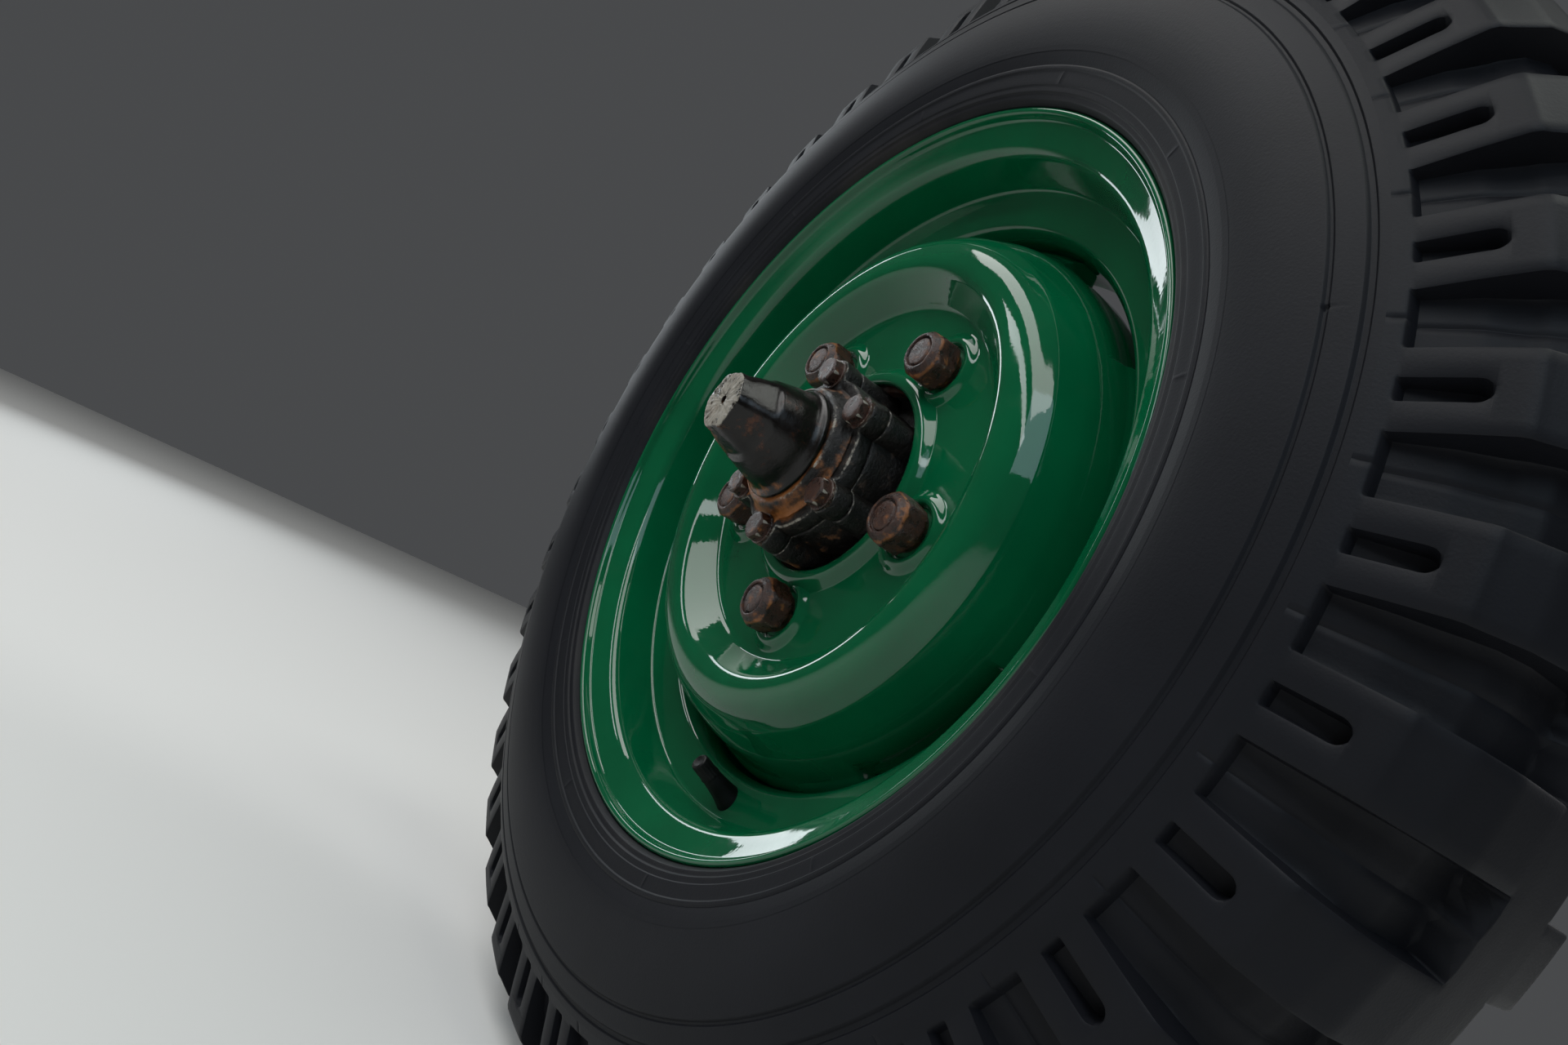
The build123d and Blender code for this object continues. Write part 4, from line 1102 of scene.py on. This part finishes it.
class FinishFrame(bpy.types.Operator):
    """Makes the finishes, and gives the CAD pieces theirs"""

    bl_idname = "road_wheel.finish_frame"
    bl_label = "Finish CAD pieces"

    def execute(self, context):
        make_finishes()
        slots = {part["node"]: part["material_slot"] for part in frame["record"]["subparts"]}
        for name, piece in frame["nodes"].items():
            piece.data.materials.clear()
            piece.data.materials.append(finish(slots[name]))
        return {"FINISHED"}


class MakeStage(bpy.types.Operator):
    """Lays the pale floor, hangs the lamps and sets the camera"""

    bl_idname = "road_wheel.make_stage"
    bl_label = "Make stage"

    def execute(self, context):
        make_floor()
        make_lights()
        make_camera()
        context.scene.view_settings.view_transform = "Standard"
        return {"FINISHED"}


def make_floor():
    """A wide pale floor at the tyre's foot, in matt paint that takes a soft shadow and no reflection."""
    half = 6.0
    level = CAD_BOX[0][2]
    mesh = bpy.data.meshes.new("studio_floor")
    mesh.from_pydata(
        [(-half, -half, level), (half, -half, level), (half, half, level), (-half, half, level)],
        [], [(0, 1, 2, 3)],
    )
    floor = bpy.data.objects.new("studio_floor", mesh)
    bpy.context.scene.collection.objects.link(floor)
    paint = bpy.data.materials.new("studio_floor_paint")
    paint.use_nodes = True
    shader = paint.node_tree.nodes["Principled BSDF"]
    shader.inputs["Base Color"].default_value = (*colours().floor, 1)
    shader.inputs["Roughness"].default_value = 0.85
    mesh.materials.append(paint)


def make_lights():
    """A long key in two strips above the outer face, a window at the left, a cool fill at the right,
    a top and a back lamp, in a dim and even world.
    """
    lamps = (
        ("key", (-0.2, -1.85, 2.8), (5.0, 1.1), 72.0, (1.0, 0.995, 0.98)),
        ("strip", (-0.2, -2.8, 2.0), (5.0, 0.32), 30.0, (0.94, 0.98, 1.0)),
        ("window", (-3.0, -0.45, 1.25), (0.5, 1.9), 16.0, (0.9, 0.96, 1.0)),
        ("fill", (2.3, -1.7, 1.9), (2.2, 1.7), 26.0, (0.66, 0.84, 1.0)),
        ("top", (1.0, 0.1, 2.9), (1.5, 1.0), 18.0, (0.96, 1.0, 0.94)),
        ("back", (0.8, 2.8, 1.8), (1.8, 1.8), 30.0, (1.0, 1.0, 1.0)),
    )
    for name, place, side, power, tint in lamps:
        light = bpy.data.lights.new(name, "AREA")
        light.shape = "RECTANGLE"
        light.size, light.size_y = side
        light.energy, light.color = power, tint
        lamp = bpy.data.objects.new(name, light)
        bpy.context.scene.collection.objects.link(lamp)
        lamp.location = place
        lamp.rotation_mode = "QUATERNION"
        lamp.rotation_quaternion = (-lamp.location).to_track_quat("-Z", "Y")
    world = bpy.data.worlds.new("studio_world")
    bpy.context.scene.world = world
    world.use_nodes = True
    tree = world.node_tree
    back = tree.nodes["Background"]
    back.inputs["Color"].default_value = (0.93, 0.96, 1.0, 1)
    back.inputs["Strength"].default_value = 0.07


def make_camera():
    """The camera where the photograph was taken, close to the wheel and rolled to the right.

    The three axes are the camera's right, up and backward directions, and its place is in mm.
    """
    right = (0.506956, 0.748292, 0.427849)
    up = (-0.109413, -0.436483, 0.893035)
    back = (0.855000, -0.499542, -0.139404)
    place = (491.53, -283.11 - RIM_OUT, -118.45)
    data = bpy.data.cameras.new("photo_camera")
    data.sensor_width = 36.0
    data.lens = 24.29
    data.clip_start = 0.01
    camera = bpy.data.objects.new("photo_camera", data)
    bpy.context.scene.collection.objects.link(camera)
    turn = Matrix((right, up, back)).transposed()
    camera.matrix_world = Matrix.Translation([p * MM for p in place]) @ turn.to_4x4()
    bpy.context.scene.camera = camera


class RoadWheelPanel(bpy.types.Panel):
    """Buttons for each group of pieces"""

    bl_idname = "VIEW3D_PT_road_wheel"
    bl_label = "Road wheel"
    bl_space_type = "VIEW_3D"
    bl_region_type = "UI"
    bl_category = "Road wheel"

    def draw(self, context):
        for step in STEPS:
            self.layout.operator(step.bl_idname)
        for group in (context.scene.road_wheel_sizes, context.scene.road_wheel_colours):
            for name in group.__annotations__:
                self.layout.prop(group, name)


STEPS = (FinishFrame, MakeStage, MakeTyre, MakeWheel, MakeHub, MakeFasteners, MakeValve)
CLASSES = (RoadWheelSizes, RoadWheelColours, *STEPS, RoadWheelPanel)


def register():
    """Adds the classes and the scene's settings."""
    for cls in CLASSES:
        bpy.utils.register_class(cls)
    bpy.types.Scene.road_wheel_sizes = bpy.props.PointerProperty(type=RoadWheelSizes)
    bpy.types.Scene.road_wheel_colours = bpy.props.PointerProperty(type=RoadWheelColours)


def unregister():
    """Removes the scene's settings and the classes."""
    del bpy.types.Scene.road_wheel_colours
    del bpy.types.Scene.road_wheel_sizes
    for cls in reversed(CLASSES):
        bpy.utils.unregister_class(cls)


def main():
    register()
    for step in STEPS:
        group, name = step.bl_idname.split(".")
        getattr(getattr(bpy.ops, group), name)()


if __name__ == "__main__":
    main()
